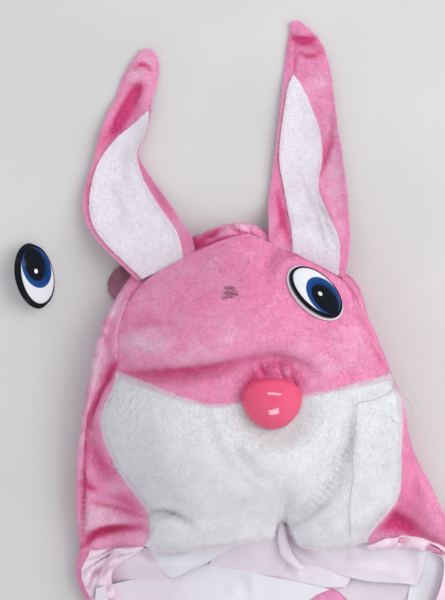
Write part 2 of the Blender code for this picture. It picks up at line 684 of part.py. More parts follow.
def make_body(rows_per=2, across=7):
    """Front and back halves of body and legs, the placket, and the two sleeves."""
    count = (len(BODY_ROWS) - 1) * rows_per + 1
    for side, word in ((-1, "left"), (1, "right")):
        shape = body_grid(side, rows_per, across, front=False)
        flat = np.dstack([shape, np.zeros(shape.shape[:2])])
        wall(f"back_{word}", flat, flat + [0, 0, CLOTH], "pink plush")
        shape = body_grid(side, rows_per, across, front=True)
        ridge = folds(shape[..., 0] * side, shape[..., 1] - NECK_Y, BODY_FOLDS)
        rise = body_rise(count, across)
        under = np.dstack([shape, CLOTH + SEAM + rise])
        thick = CLOTH + np.maximum(ridge, 0) * (rise / BODY_PUFF)
        wall(f"front_{word}", under, under + thick[..., None] * [0, 0, 1.0], "pink plush")
        make_sleeve(side, word, ARMHOLE_END * rows_per + 1)
    length = np.linspace(-18, BODY_ROWS[CROTCH][1] + 12, 16) + NECK_Y
    across_it = np.linspace(-PLACKET_HALF, PLACKET_HALF, 5)
    x, y = np.meshgrid(across_it, length)
    z = np.full(x.shape, CLOTH + SEAM + BODY_PUFF + CLOTH + 1.3 * SEAM)
    ridge = np.maximum(folds(np.abs(x), y - NECK_Y, BODY_FOLDS), 0)
    under = np.stack([x, y, z + ridge], axis=2)
    wall("front_placket", under, under + [0, 0, PLACKET_CLOTH], "pink plush")


def make_sleeve(side, word, across, steps=7):
    """Flattened tube from the armhole to the cuff, open at both ends."""
    edge = spline(BODY_ROWS, np.linspace(0, ARMHOLE_END, across))[:, 2:4]
    cuff = read((CUFF_TOP, CUFF_BOTTOM), across)
    turn = np.arange(2 * across - 2) / (across - 1)
    u = np.where(turn <= 1, turn, 2 - turn)
    rise = 0.5 * (4 * u * (1 - u)) ** 0.25
    level = 0.5 + np.where(turn <= 1, rise, -rise)
    rings = {}
    for layer, shrink in (("outer", 0.0), ("inner", CLOTH)):
        lines = []
        for v in np.linspace(0, 1, steps):
            width = np.linalg.norm((1 - v) * (edge[0] - edge[-1]) + v * (cuff[0] - cuff[-1]))
            inset = 0.5 + (u - 0.5) * (1 - 2 * shrink / width)
            at = inset * (across - 1)
            start, end = spline(edge, at), spline(cuff, at)
            outward = start + [SEAM, 0]
            flat = outward * (1 - v) + end * v
            z = shrink + level * (SLEEVE_HEIGHT - 2 * shrink)
            lines.append(np.column_stack([flat[:, 0] * side, flat[:, 1] + NECK_Y, z]))
        rings[layer] = np.array(lines).transpose(1, 0, 2)
    wall(f"sleeve_{word}", rings["outer"], rings["inner"], "pink plush", tube=True)


def centre_on_origin():
    """Moves every mesh so that the origin is under the middle of the whole garment."""
    things = [o for o in bpy.context.scene.objects if o.type == "MESH"]
    corners = []
    for thing in things:
        points = np.empty(len(thing.data.vertices) * 3)
        thing.data.vertices.foreach_get("co", points)
        points = points.reshape(-1, 3)
        corners += [points.min(axis=0), points.max(axis=0)]
    low, high = np.min(corners, axis=0), np.max(corners, axis=0)
    middle = (low + high) / 2
    for thing in things:
        for vertex in thing.data.vertices:
            vertex.co.x -= middle[0]
            vertex.co.y -= middle[1]


def main():
    for thing in list(bpy.data.objects):
        bpy.data.objects.remove(thing)
    make_face()
    make_hood_back()
    make_ear("left", LEFT_EAR, LEFT_EAR_WHITE_FROM)
    make_ear("right", RIGHT_EAR, RIGHT_EAR_WHITE_FROM)
    make_nose()
    make_eyes()
    make_lining()
    make_body()
    centre_on_origin()


main()
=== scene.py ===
"""Looks of a child's plush bunny costume that lies on its back on a pale surface.

Tables are in millimetres about the nose, x to the right, y towards the ears, z up from
the surface.  Every cloth piece is a grid of points worked out from such tables.
"""

import math

import bmesh
import bpy
import numpy as np
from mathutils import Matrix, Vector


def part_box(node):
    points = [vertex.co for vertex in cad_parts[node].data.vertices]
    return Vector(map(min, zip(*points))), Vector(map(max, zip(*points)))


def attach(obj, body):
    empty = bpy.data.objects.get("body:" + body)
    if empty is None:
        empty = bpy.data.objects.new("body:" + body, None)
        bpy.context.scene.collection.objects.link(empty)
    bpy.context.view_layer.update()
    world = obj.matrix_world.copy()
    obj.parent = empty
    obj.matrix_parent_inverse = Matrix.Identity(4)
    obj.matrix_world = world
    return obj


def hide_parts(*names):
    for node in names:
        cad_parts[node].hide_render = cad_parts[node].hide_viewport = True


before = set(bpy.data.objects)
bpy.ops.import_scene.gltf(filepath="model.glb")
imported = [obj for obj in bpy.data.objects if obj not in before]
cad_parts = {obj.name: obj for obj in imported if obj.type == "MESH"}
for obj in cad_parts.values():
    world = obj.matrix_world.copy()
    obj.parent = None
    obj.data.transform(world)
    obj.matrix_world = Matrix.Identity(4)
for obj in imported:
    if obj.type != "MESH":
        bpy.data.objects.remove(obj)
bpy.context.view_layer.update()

NOSE_LOW, NOSE_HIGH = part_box("nose")
NOSE_AT = np.array([(NOSE_LOW.x + NOSE_HIGH.x) / 2, (NOSE_LOW.y + NOSE_HIGH.y) / 2, 0.0])
MM = 0.001

SEAM = 0.4
CLOTH = 2.2
FOREHEAD_WALL = 2.6
MUZZLE_WALL = 4.0
RIM_TAPER = 0.3
LINING = 1.0
WHITE_EAR = 1.3
NECK_Y = -224.0
NECK_HALF = 97.0
SPINE_X = -16.0
CROWN_Y = 51.0
NOSE_Z = 80.0
SHANK_HOLE = 4.2
NOSE_CLEAR = 26.0
DOME_POWER = 3.4

# Seam or opening edge x, y, z; slot for an ear; outermost x, y, z; depth of the valley
HOOD_ROWS = (
    (-78, -224, 9, 0, -95, -224, 4.5, 0), (-95, -195, 12, 0, -121, -192, 7, 1),
    (-117, -163, 16, 0, -145, -160, 9, 2), (-125, -136, 20, 0, -154, -137, 11, 3),
    (-99, -114, 27, 0, -151, -118, 15, 8), (-96, -89, 33, 0, -153, -92, 19, 9),
    (-120, -54, 37, 0, -153, -58, 24, 8), (-133, -16, 41, 0, -149, -19, 26, 6),
    (-120, 21, 46, 0, -142, 22, 29, 6), (-117, 62, 46, 0, -130, 64, 30, 3),
    (-98, 94, 28, 7.4, -104, 104, 17, 0), (-56, 118, 28, 7.4, -61, 128, 16, 0),
    (-24, 130, 36, 0, -25, 139, 24, 0), (-5, 126, 28, 7.4, -4, 134, 14, 0),
    (56, 95, 28, 7.4, 62, 99, 15, 0), (74, 64, 37, 0, 78, 65, 20, 0),
    (94, 19, 38, 0, 96.5, 19.5, 22, 0), (102.5, -3, 38, 0, 105, -3, 22, 0),
    (102.5, -37, 37, 0, 112, -36, 18, 3), (100, -76, 33, 0, 128, -69, 17, 5),
    (77, -111, 27, 0, 140, -94, 15, 6), (110, -112, 21, 0, 155, -119, 13, 3),
    (141, -128, 16, 0, 168, -154, 11, 2), (128, -176, 13, 0, 153, -196, 8, 1),
    (78, -224, 9, 0, 98, -224, 4.5, 0),
)
FOOT_LEFT, CORNER_LEFT, CROWN_ROW, CORNER_RIGHT, FOOT_RIGHT = 4, 8, 12, 16, 20

MUZZLE_HEM = (
    (77, -111, 27), (51, -117, 31), (26, -115, 35), (17, -106, 38), (12, -95, 40), (6, -96, 41),
    (0, -108, 40), (-20, -111, 39), (-51, -117, 36), (-84, -119, 30), (-99, -114, 27),
)

# Turn of the left seam about the nose in degrees, by its share of the way to the rim
SEAM_ANGLE = 170.5
SEAM_BOW = (
    (0, 6), (0.19, 8.5), (0.28, 12.6), (0.38, 12.5), (0.47, 9.4), (0.61, 6.2), (0.71, 3.8),
    (0.81, 2), (0.91, 0.7), (1, 0),
)

# Centre x, y, half sizes x, y, height
BULGES = (
    (-24, 62, 62, 34, 12), (48, 50, 34, 32, 5), (9, -42, 40, 40, 15), (-76, -40, 44, 46, 12),
    (78, -38, 26, 44, 9),
)

# A fold's row: start x, y, middle x, y, end x, y, width, height.
# One-sided creases: curve as for a fold, reach on its left, reach on its right, depth
FRONT_STEPS = (
    (-117, 24, -76, 22, -14, 37, 1.6, 8, -3.2), (-14, 37, 12, 40, 34, 26, 2, 6, -1.6),
    (-98, -88, -80, -80, -62, -93, 2.2, 5.5, -5), (63, -30, 60, -74, 20, -94, 8, 6.5, -1.5),
)

# Pleats of the cloth that the nose pins down, and the pinched cloth beside them
NOSE_PLEATS = (
    (-9, 30, -7, 24, -3, 20, 1.5, -1.6), (6, 31, 7, 25, 11, 18, 1.5, -1.8),
    (14, 26, 16, 20, 19, 13, 1.6, -2), (-2, 33, -1, 27, 2, 21, 1.8, 1.5),
    (12, 31, 13, 25, 16, 18, 1.5, 1.1), (-14, 28, -13, 24, -9, 18, 1.8, 1),
    (20, 25, 21, 20, 24, 12, 1.8, 1),
)
# Painted shade where cloth meets the nose: deep colour without a change of height
NOSE_SHADE = (
    (-26, 14, -8, 31, 12, 29, 3.4, -0.8), (12, 29, 22, 24, 27, 12, 2.6, -0.7),
    (-24, 6, -16, 24, 4, 23, 2.6, -1), (2, 22, 16, 22, 24, 10, 2, -0.8),
)

# Painted shade: dark lines of the chin, the snout's right and the crown, drawn in the nap alone
SNOUT_SHADE = (
    (-99, -91, -84, -79, -63, -92, 1.5, -1.0),
    (63, -12, 64, -72, 20, -94, 2.4, -0.75),
    (22, -93, 14, -98, 14, -108, 2.2, -0.5),
)

CROWN_SHADE = (
    (-141, -34, -134, -50, -122, -62, 6, -0.75), (-122, -74, -112, -78, -102, -88, 5, -0.7),
    (-126, 22, -134, 8, -140, -10, 2.2, -0.6), (-150, -64, -146, -68, -140, -70, 2.2, -0.9),
    (-145, -106, -134, -101, -118, -100, 2.6, -0.8), (-124, 26, -121, 29, -118, 30, 3, -0.6),
    (-76, 116, -64, 127, -50, 124, 3.4, -1), (-58, 124, -46, 133, -34, 134, 1.4, -1),
    (-48, 123, -36, 129, -18, 130, 1.3, -1), (-30, 134, -20, 133, -10, 128, 1.2, -0.8),
)

FRONT_FOLDS = (
    (-116, 20, -62, 20, -14, 32, 7, -7), (-14, 32, 8, 34, 30, 26, 7, -6),
    (-112, 32, -60, 34, -16, 44, 10, 4), (60, 2, 64, -50, 14, -96, 5, -8),
    (-40, -6, -34, -52, 10, -70, 9, -3), (11, -70, 12, -90, 11, -103, 5, -3),
    (-97, -88, -80, -78, -66, -90, 9, -5),
)

# Centre x, y, half length, half width, turn in degrees, height, slopes in x and y
EYE_SEAT = (34, 83, 31.0, 22.0, -45.0, 63.0, -0.40, -0.46)
NOSE_SEAT = (0, 0, 21.5, 20.0, 0.0, NOSE_Z, 0.0, 0.0)
SEATS = (EYE_SEAT, NOSE_SEAT)

# Fine creases of the forehead and the muzzle, laid over the large folds
FINE_FRONT = (
    (-112, 30, -66, 32, -18, 44, 4, 1.8), (-121, 51, -106, 66, -72, 60, 2.6, -1.5),
    (-118, 84, -112, 72, -116, 54, 3, -1.6), (62, 72, 72, 64, 79, 50, 2.4, -1.4),
    (56, 74, 68, 68, 76, 56, 3, 1.2), (78, 44, 84, 38, 87, 28, 2, -2),
    (84, 48, 90, 36, 94, 26, 2.4, 0.9), (-92, 60, -60, 52, -30, 60, 12, 0.9),
    (58, 6, 64, -20, 64, -40, 9, 1.9), (-114, 40, -86, 46, -52, 40, 7, 1.5),
    (-66, 116, -30, 122, -2, 118, 4, 1), (-44, -2, -38, -28, -28, -44, 4, 1.9),
    (-28, -44, -16, -60, 8, -71, 4, 1.7), (-50, -6, -46, -34, -34, -54, 5, -1.2),
    (63, -30, 60, -74, 20, -94, 4.6, -1), (40, -80, 26, -90, 14, -104, 4.6, -1.4),
    (26, -78, 12, -92, 11, -100, 1.8, -1.2), (70, -30, 68, -78, 30, -98, 7, 1.2),
    (80, -4, 84, -30, 78, -60, 8, 1.2), (96, -30, 92, -56, 98, -70, 4, -1),
    (-97, -88, -84, -82, -64, -92, 2.4, -3.2), (-97, -98, -74, -95, -60, -100, 6, 1.8),
    (-98, -110, -78, -114, -58, -111, 4, -1.2), (-88, -20, -84, -50, -60, -76, 11, 1.3),
    (24, -84, 26, -98, 32, -108, 4, -1),
)

SIDE_FOLDS = (
    (-119, 29, -126, 24, -130, 16, 4.4, -4.6), (-126, 20, -137, 4, -143, -20, 2.2, -3),
    (-142, -12, -148, -52, -149, -108, 2.6, -4.8), (-149, -56, -144, -66, -138, -70, 2.4, -3.4),
    (-140, -50, -128, -62, -112, -58, 3, 1.4), (-140, -80, -122, -86, -97, -91, 2.6, -3),
    (-136, -94, -120, -96, -104, -98, 4, 1.6), (-150, -116, -132, -100, -99, -100, 3, -7),
    (-146, -110, -136, -104, -122, -102, 3.4, -3), (-148, 40, -140, 70, -118, 98, 4, 1),
    (-124, 30, -122, 58, -108, 90, 2.4, 1.6), (-128, 44, -130, 56, -136, 50, 2.6, -1.4),
    (-142, 38, -146, 10, -150, -10, 2.4, -2), (-76, 108, -68, 124, -52, 122, 4, -5),
    (-60, 134, -50, 127, -42, 132, 2.2, -3.4), (-44, 128, -32, 127, -12, 131, 1.8, -2.2),
    (-68, 126, -42, 140, -10, 133, 4, 3), (-62, 119, -36, 129, -12, 128, 2.4, -3.4),
    (-34, 140, -28, 134, -22, 130, 1.8, -1.8), (-20, 139, -14, 134, -12, 129, 1.8, -1.6),
    (104, -40, 112, -62, 124, -78, 4, 1.4), (98, -56, 106, -80, 118, -100, 14, -1.8),
    (80, -104, 100, -92, 116, -104, 6, -5), (94, -86, 100, -92, 110, -102, 5, -4),
    (116, -106, 128, -110, 142, -120, 4, -1.8), (112, -78, 128, -90, 144, -110, 4, 1.2),
)
# Spots of pale brushed-up nap, and of painted light where the crown, the muzzle below the nose and the chin
# lie in shade: centre x, y, half sizes x, y, amount
FROST_AND_LIGHT_SPOTS = (
    (-98, 46, 26, 12, 0.75), (-60, 36, 24, 12, 0.5), (-40, 52, 30, 18, 0.3), (-94, 80, 20, 14, 0.3),
    (-60, 96, 30, 16, 0.25), (-140, 44, 12, 46, 1), (-126, 78, 12, 20, 0.9),
    (-148, -20, 7, 44, 0.8), (-134, -96, 16, 18, 0.9), (-124, -66, 14, 10, 0.5),
    (30, 30, 40, 12, 0.35), (60, 40, 26, 20, 0.3), (-104, 262, 14, 16, 0.6), (52, 176, 10, 46, 0.5),
    (30, 246, 22, 14, 0.35), (-112, 236, 12, 8, 0.3), (-36, 138, 34, 6, 0.9), (4, -52, 44, 24, 0.6),
    (-10, -106, 90, 22, 1), (-74, -96, 24, 20, 1), (60, -80, 40, 50, 0.5), (96, 0, 14, 24, 0.7),
)

# Left edge x, y, right edge x, y, height at the left, middle and right
LEFT_EAR = (
    (-101, 279, -94, 279, 1.5, 1.5, 1.5), (-109, 270, -89, 269, 1, 3, 1.5),
    (-117, 257, -89, 255, 0, 4, 1), (-122, 242, -93, 241, 0.5, 3, 3.5),
    (-129, 228, -95, 227, 3, 1, 6), (-135, 211, -99, 210, 5, 0, 7), (-141, 188, -105, 196, 5, 0, 6),
    (-147, 167, -97, 180, 6, 0, 5), (-148, 150, -83, 160, 8, 2, 7),
    (-143, 135, -72, 144, 12, 9, 13), (-130, 119, -63, 131, 22, 20, 24),
    (-104, 94, -59, 115, 28.9, 28.9, 28.9),
)
RIGHT_EAR = (
    (17, 301, 23, 302, 1.5, 1.5, 1.5), (16, 292, 35, 292, 0, 2.5, 1),
    (14, 280, 42, 282, 0, 3.5, 1.5), (12, 264, 48, 264, 0, 2.5, 2.5), (10, 243, 51, 243, 3, 1, 4),
    (7, 218, 54, 218, 4, 0, 5.5), (4, 193, 58, 193, 4, 0, 6), (1, 170, 61, 170, 3, 0, 7),
    (-1, 155, 63, 143, 5, 3, 11), (-1, 141, 63, 122, 20, 19, 22), (-1, 124, 58, 96, 29.1, 29, 28.9),
)
# Row of the ear's table, then the white panel's left and right edge as shares across
LEFT_WHITE = (
    (3.85, 0.90, 0.95), (4.4, 0.70, 0.99), (5, 0.42, 0.99), (6, 0.14, 0.98), (7, 0.09, 0.90),
    (8, 0.07, 0.87), (9, 0.06, 0.88), (10, 0.06, 0.86), (11, 0.08, 0.80),
)
RIGHT_WHITE = (
    (3.3, 0.19, 0.21), (3.55, 0.13, 0.33), (4, 0.09, 0.47), (5, 0.06, 0.68), (6, 0.07, 0.70),
    (7, 0.17, 0.63), (8, 0.24, 0.75), (9, 0.28, 0.87), (10, 0.32, 0.92),
)

EAR_FOLDS = (
    (-104, 246, -112, 222, -136, 202, 5, -3),
    (9, 190, 22, 166, 36, 128, 5, -2.5),
    (20, 284, 30, 284, 40, 280, 4, -2),
)
FINE_EAR = (
    (-108, 264, -101, 270, -95, 262, 2.6, -2), (-114, 254, -106, 250, -98, 254, 2.4, 1.6),
    (-104, 250, -112, 238, -124, 216, 4, -4.4), (-124, 236, -132, 214, -142, 186, 3, 1.6),
    (-144, 180, -146, 160, -142, 142, 2.2, -1.4), (-106, 196, -112, 180, -104, 164, 6, 1.6),
    (-128, 172, -118, 158, -116, 138, 4, -1), (-96, 176, -86, 158, -74, 140, 2.2, -1.2),
    (-124, 236, -112, 240, -100, 236, 2.6, 1), (18, 289, 26, 284, 36, 288, 3, -3.6),
    (24, 276, 32, 270, 42, 277, 2.6, -1.8), (15, 286, 18, 270, 17, 254, 2, 1.6),
    (20, 280, 20, 266, 19, 256, 1.6, -1.2), (22, 262, 34, 264, 48, 256, 4, 1.2),
    (50, 224, 51, 196, 38, 178, 2.2, -1.8), (40, 172, 50, 148, 61, 120, 2.6, 2),
    (34, 170, 44, 146, 54, 116, 2, -1.4), (24, 184, 38, 150, 44, 120, 2.4, -1.6),
    (6, 166, 9, 146, 15, 122, 2.8, -2.4), (-128, 160, -112, 150, -88, 154, 6, 0.9),
    (44, 205, 42, 188, 34, 176, 2.4, -1.2), (36, 160, 48, 150, 58, 138, 2.2, 1.2),
    (20, 170, 30, 140, 38, 110, 3, 0.9), (4, 128, 8, 140, 12, 150, 2.4, -1.4),
)

# Inner edge x, y and outer edge x, y of a half of the body and its leg, about the neck
BODY_ROWS = (
    (0, 0, 172, -28), (0, -60, 167, -75), (0, -115, 171, -125), (0, -165, 187, -170),
    (0, -255, 181, -260), (0, -335, 177, -340), (0, -425, 188, -430), (0, -510, 197, -520),
    (26, -640, 192, -640), (44, -740, 182, -740), (56, -838, 172, -832),
)
ARMHOLE_END, CROTCH = 3, 7
BODY_PUFF = 3.1
CUFF_TOP, CUFF_BOTTOM = (452, -238), (396, -318)
SLEEVE_HEIGHT = 8.0
PLACKET_HALF, PLACKET_CLOTH = 16.0, 1.6
BODY_FOLDS = (
    (40, -70, 90, -110, 150, -118, 14, 1.6), (20, -330, 90, -345, 165, -330, 16, 1.5),
    (30, -500, 80, -470, 170, -480, 15, 1.6), (90, -600, 110, -680, 100, -780, 14, 1.4),
)
DRAPE_BODY = (
    (20, -40, 70, -90, 160, -100, 16, 4), (30, -120, 100, -130, 172, -175, 14, 4.4),
    (168, -140, 150, -190, 176, -240, 12, 3.6), (36, -230, 90, -250, 168, -300, 18, 3.4),
    (24, -300, 70, -340, 120, -330, 14, 3), (30, -420, 90, -400, 176, -430, 18, 3.8),
    (24, -500, 80, -480, 150, -530, 14, 4.2), (26, -530, 90, -560, 180, -560, 12, 3.4),
    (60, -600, 90, -640, 160, -640, 16, 3.4), (90, -680, 100, -720, 90, -780, 14, 3.6),
    (150, -660, 150, -720, 140, -790, 12, 2.8), (70, -790, 110, -770, 160, -800, 10, 3),
)
FINE_BODY = (
    (30, -24, 70, -50, 150, -60, 9, 1.3), (110, -150, 130, -190, 170, -200, 8, 1.2),
    (40, -210, 80, -240, 140, -230, 10, 1), (50, -400, 100, -420, 170, -400, 11, 1.2),
    (30, -560, 80, -540, 150, -560, 8, 1.1), (60, -700, 100, -690, 150, -720, 9, 1),
    (70, -800, 110, -790, 160, -806, 8, 1),
)

EYE_HALF_LENGTH, EYE_HALF_WIDTH = 26.5, 17.5
GLUE_RADIUS, GLUE_HEIGHT = 6.8, 5.2
LOOSE_EYE = (-189, 99)
LOOSE_EYE_TURN, LOOSE_EYE_TILT = 101.0, 32.0
NOSE_HALF_WIDTH, NOSE_HALF_HEIGHT, NOSE_DOME = 23.0, 20.0, 17.0
SHANK_RADIUS, SHANK_LENGTH = 3.2, 9.0

# Gathered cloth is cut longer than it lies
# Side, first and last row of HOOD_ROWS, width, its share at the start, reach of the evening
# out, how far the edge column goes on, height over the hood, lift, swell, share of the wave in
# it, depth of the painted shade in its gathers, length of the cut
BINDINGS = (
    ("left", 0.0, 3.96, 0.62, 1.0, 4, 1.0, 0.0, 1.3, 1.2, 0.8, 0.9, 0.15),
    ("right", 20.05, 24.0, 0.42, 0.3, 12, 3.6, 3.3, 0.8, 0.6, 0.15, 0.15, 0.17),
)
# Edges of the dark sheet under the left ear, a painted shadow
SHADOW_SHEET_EDGES = (
    ((-125, 102, 1), (-117, 107, 4), (-106, 106, 8)),
    ((-129, 86, 1), (-126, 81, 2), (-122, 78, 4)),
    ((-129, 94, 1),),
    ((-112, 92, 7),),
)
# Crumbs of glue: place x, y and size
CRUMBS = (
    (-33.8, 88.4, 1.8), (-31, 88.8, 1.3), (-28.8, 87.6, 1.7), (-34.6, 84.6, 1.4),
    (-31.8, 85.2, 2.1), (-28.6, 84.4, 1.9), (-33.4, 81.8, 1.6), (-30.2, 81.6, 1.7),
    (-26.6, 83.2, 1), (-36.6, 80.6, 1.1),
)

# Fibres, length, width, lean and heading in degrees, seed of the random draws
PILES = {
    "forehead_pile": (92000, 1.7, 0.28, 50, 250, 11),
    "muzzle_pile": (92000, 1.8, 0.34, 60, 255, 12),
    "seam_fuzz_left": (7000, 2.2, 0.2, 62, 0, 15),
    "seam_fuzz_right": (6000, 2.2, 0.2, 62, 0, 15),
    "seam_fuzz_side": (13000, 2.2, 0.2, 62, 0, 15),
    "hood_left_pile": (66000, 1.7, 0.28, 50, 265, 21),
    "hood_right_pile": (66000, 1.7, 0.28, 50, 265, 22),
}
for ear, ear_seed in (("left", 51), ("right", 61)):
    PILES[f"ear_{ear}_pile"] = (34000, 1.6, 0.29, 52, 90, ear_seed)
    PILES[f"ear_{ear}_white_pile"] = (24000, 1.5, 0.28, 56, 265, ear_seed + 5)
    for edge in ("near", "far"):
        PILES[f"ear_{ear}_{edge}_fuzz"] = (3000, 2.0, 0.22, 70, 0, ear_seed + 9)
        PILES[f"panel_{ear}_{edge}_fuzz"] = (2500, 1.8, 0.22, 72, 0, ear_seed + 10)
NAP_SPREAD, FUZZ_SPREAD = 0.35, 3.0
PILE_SINK = 0.15
# Tufts painted on the white pile: pale clump tops as painted highlights, darker gaps as painted shade;
# centre x, y and half sizes
TUFT_LIGHT_AND_SHADE = (-113, -2, 17, 16)
WEAVE = 420.0
ROUND = 96
TINY = 1e-9
RINGS = 58
HOOD_SIDES, HOOD_UNDER = 20, 7


PILE_SHARE = 1.0
STEPS = 18


def set_view():
    """Camera straight above, 1.8 m up, so that 0.8 mm of the surface is one pixel."""
    lens = bpy.data.cameras.new("view")
    lens.sensor_width = 36.0
    lens.lens = 36.0 * 1.8 / (600 * 0.0008)
    lens.clip_end = 20.0
    camera = bpy.data.objects.new("view", lens)
    camera.location = (NOSE_AT[0] - 0.0376, NOSE_AT[1] + 0.079, 1.8)
    bpy.context.scene.collection.objects.link(camera)
    bpy.context.scene.camera = camera
    bpy.context.scene.view_settings.view_transform = "Standard"


def lamp(name, place, size, power, colour=(1, 1, 1), tall=None):
    """Area light aimed at the nose."""
    light = bpy.data.lights.new(name, "AREA")
    light.shape = "RECTANGLE"
    light.size = size
    light.size_y = tall or size
    light.energy = power
    light.color = colour
    thing = bpy.data.objects.new(name, light)
    place = np.array(place)
    thing.location = NOSE_AT + place
    away = place / np.linalg.norm(place)
    thing.rotation_euler = (math.acos(away[2]), 0, math.atan2(away[0], -away[1]))
    bpy.context.scene.collection.objects.link(thing)
    return thing


def set_light():
    """Soft daylight from the right and above, with a lamp bar and a small lamp for gloss."""
    world = bpy.data.worlds.new("room")
    world.use_nodes = True
    world.node_tree.nodes["Background"].inputs["Color"].default_value = (0.94, 0.96, 1.0, 1)
    world.node_tree.nodes["Background"].inputs["Strength"].default_value = 0.77
    bpy.context.scene.world = world
    window = lamp("window", (1.05, 0.42, 1.15), 1.4, 14.0, (1.0, 0.985, 0.965))
    window.visible_glossy = False
    for name, place, size, tall, power in (
        ("lamp_bar", (0.15, 0.68, 1.25), 0.56, 0.17, 2.6),
        ("lamp_panel", (0.13, -0.58, 1.25), 0.62, 0.36, 5.6),
    ):
        gloss = lamp(name, place, size, power, tall=tall)
        gloss.visible_diffuse = False


def feed(tree, socket, value):
    """Input socket linked to another socket, or set to a plain value."""
    if isinstance(value, bpy.types.NodeSocket):
        tree.links.new(value, socket)
    else:
        socket.default_value = value


def add_node(tree, kind, inputs=None, **settings):
    """New node with its settings, and each named input set or linked."""
    made = tree.nodes.new(kind)
    for key, value in settings.items():
        setattr(made, key, value)
    for key, value in (inputs or {}).items():
        feed(tree, made.inputs[key], value)
    return made


def new_group(name, inputs, outputs):
    """Shader node group with named sockets: (name, kind, default) each."""
    tree = bpy.data.node_groups.new(name, "ShaderNodeTree")
    for label, kind, default in inputs:
        socket = tree.interface.new_socket(label, in_out="INPUT", socket_type=f"NodeSocket{kind}")
        if default is not None:
            socket.default_value = default
    for label, kind in outputs:
        tree.interface.new_socket(label, in_out="OUTPUT", socket_type=f"NodeSocket{kind}")
    return tree, tree.nodes.new("NodeGroupInput").outputs, tree.nodes.new("NodeGroupOutput")


def mix(tree, factor, a, b):
    """Colour mix, its result socket returned."""
    return add_node(tree, "ShaderNodeMix", {0: factor, 6: a, 7: b}, data_type="RGBA").outputs[2]


def ramp(tree, value, low, high, to_low=0.0, to_high=1.0):
    """Smooth step of a value from one range to another."""
    inputs = {"Value": value, "From Min": low, "From Max": high, "To Min": to_low, "To Max": to_high}
    made = add_node(tree, "ShaderNodeMapRange", inputs, interpolation_type="SMOOTHSTEP")
    return made.outputs["Result"]


def object_place(tree):
    """Place in the object's own space."""
    return tree.nodes.new("ShaderNodeTexCoord").outputs["Object"]


def mesh_value(tree, name):
    """Value that the mesh holds under a name at each point."""
    return add_node(tree, "ShaderNodeAttribute", attribute_name=name).outputs["Fac"]


def noise(tree, place, scale, detail, **more):
    """Cloudy noise from 0 to 1."""
    inputs = {"Vector": place, "Scale": scale, "Detail": detail, **more}
    return add_node(tree, "ShaderNodeTexNoise", inputs).outputs["Fac"]


def reckon(tree, operation, *values):
    """Result of one operation on numbers or sockets."""
    return add_node(tree, "ShaderNodeMath", dict(enumerate(values)), operation=operation).outputs[0]


def cloudy(tree, place, scale, detail, span, dark, pale):
    """Two colours in soft clouds."""
    return mix(tree, ramp(tree, noise(tree, place, scale, detail), *span), dark, pale)


def paint(tree, shader, colour):
    """Colour of the shader."""
    tree.links.new(colour, shader.inputs["Base Color"])


def roughen(tree, shader, strength, distance, height):
    """Fine unevenness, as a bump on the shader's normal."""
    inputs = {"Strength": strength, "Distance": distance, "Height": height}
    rise = add_node(tree, "ShaderNodeBump", inputs)
    tree.links.new(rise.outputs["Normal"], shader.inputs["Normal"])


def make_nap_group():
    """Brushed nap: patches lighter where they lie towards the light, which is painted sheen; pale spots of
    brushed nap and painted light; a fine grain; painted shade in creases.
    """
    grey = (0.5, 0.5, 0.5, 1)
    tree, get, out = new_group(
        "nap_painted_light_and_shade",
        (
            ("Vector", "Vector", None), ("Crease Shade", "Float", 0.0), ("Pale", "Float", 0.0),
            ("Base", "Color", grey), ("Frost And Light Colour", "Color", grey), ("Deep Shade", "Color", grey),
            ("Patch Scale", "Float", 16.0), ("Frost And Light", "Float", 0.6), ("Grain", "Float", 0.12),
        ),
        (("Colour", "Color"), ("Height", "Float")),
    )
    place = get["Vector"]
    lying = ramp(tree, noise(tree, place, get["Patch Scale"], 4.0, Roughness=0.6), 0.36, 0.72)
    frost_and_light = reckon(tree, "MULTIPLY", lying, get["Frost And Light"])
    grain = noise(tree, place, 620.0, 3.0, Roughness=0.7)
    tuft = noise(tree, place, 150.0, 3.0, Roughness=0.65)
    both = reckon(tree, "ADD", grain, tuft)
    amount = reckon(tree, "MULTIPLY_ADD", ramp(tree, both, 0.7, 1.3, -1.0, 1.0), get["Grain"], 1.0)
    cloth = mix(tree, reckon(tree, "MAXIMUM", frost_and_light, get["Pale"]), get["Base"], get["Frost And Light Colour"])
    cloth = mix(tree, get["Crease Shade"], cloth, get["Deep Shade"])
    toned = add_node(tree, "ShaderNodeHueSaturation", {"Value": amount, "Color": cloth})
    tree.links.new(toned.outputs["Color"], out.inputs["Colour"])
    tree.links.new(both, out.inputs["Height"])


def new_material(name, sheen=0.0, sheen_tint=(1, 1, 1, 1), roughness=0.8, specular=0.3):
    """Material with its Principled shader, uniform numbers set on the sockets."""
    material = bpy.data.materials.new(name)
    material.use_nodes = True
    shader = material.node_tree.nodes["Principled BSDF"]
    for label, value in (
        ("Roughness", roughness), ("Specular IOR Level", specular), ("Sheen Weight", sheen),
        ("Sheen Roughness", 0.45), ("Sheen Tint", sheen_tint),
    ):
        shader.inputs[label].default_value = value
    return material, material.node_tree, shader


def cloth_material(name, base, frost_and_light_colour, deep_shade, frost_and_light, grain, sheen, bump):
    """Plush ground cloth from the nap group: painted sheen in patches, pale brushed nap and painted light in
    spots, and painted shade in the creases that the mesh names.
    """
    material, tree, shader = new_material(name, sheen, (*[min(1, 0.4 + c) for c in base[:3]], 1))
    values = {
        "Vector": object_place(tree), "Crease Shade": mesh_value(tree, "crease_shade"),
        "Pale": mesh_value(tree, "frost_and_light"), "Base": base, "Frost And Light Colour": frost_and_light_colour, "Deep Shade": deep_shade,
        "Frost And Light": frost_and_light, "Grain": grain,
    }
    nap = add_node(tree, "ShaderNodeGroup", values, node_tree=bpy.data.node_groups["nap_painted_light_and_shade"])
    paint(tree, shader, nap.outputs["Colour"])
    roughen(tree, shader, bump, 0.0008, nap.outputs["Height"])
    return material


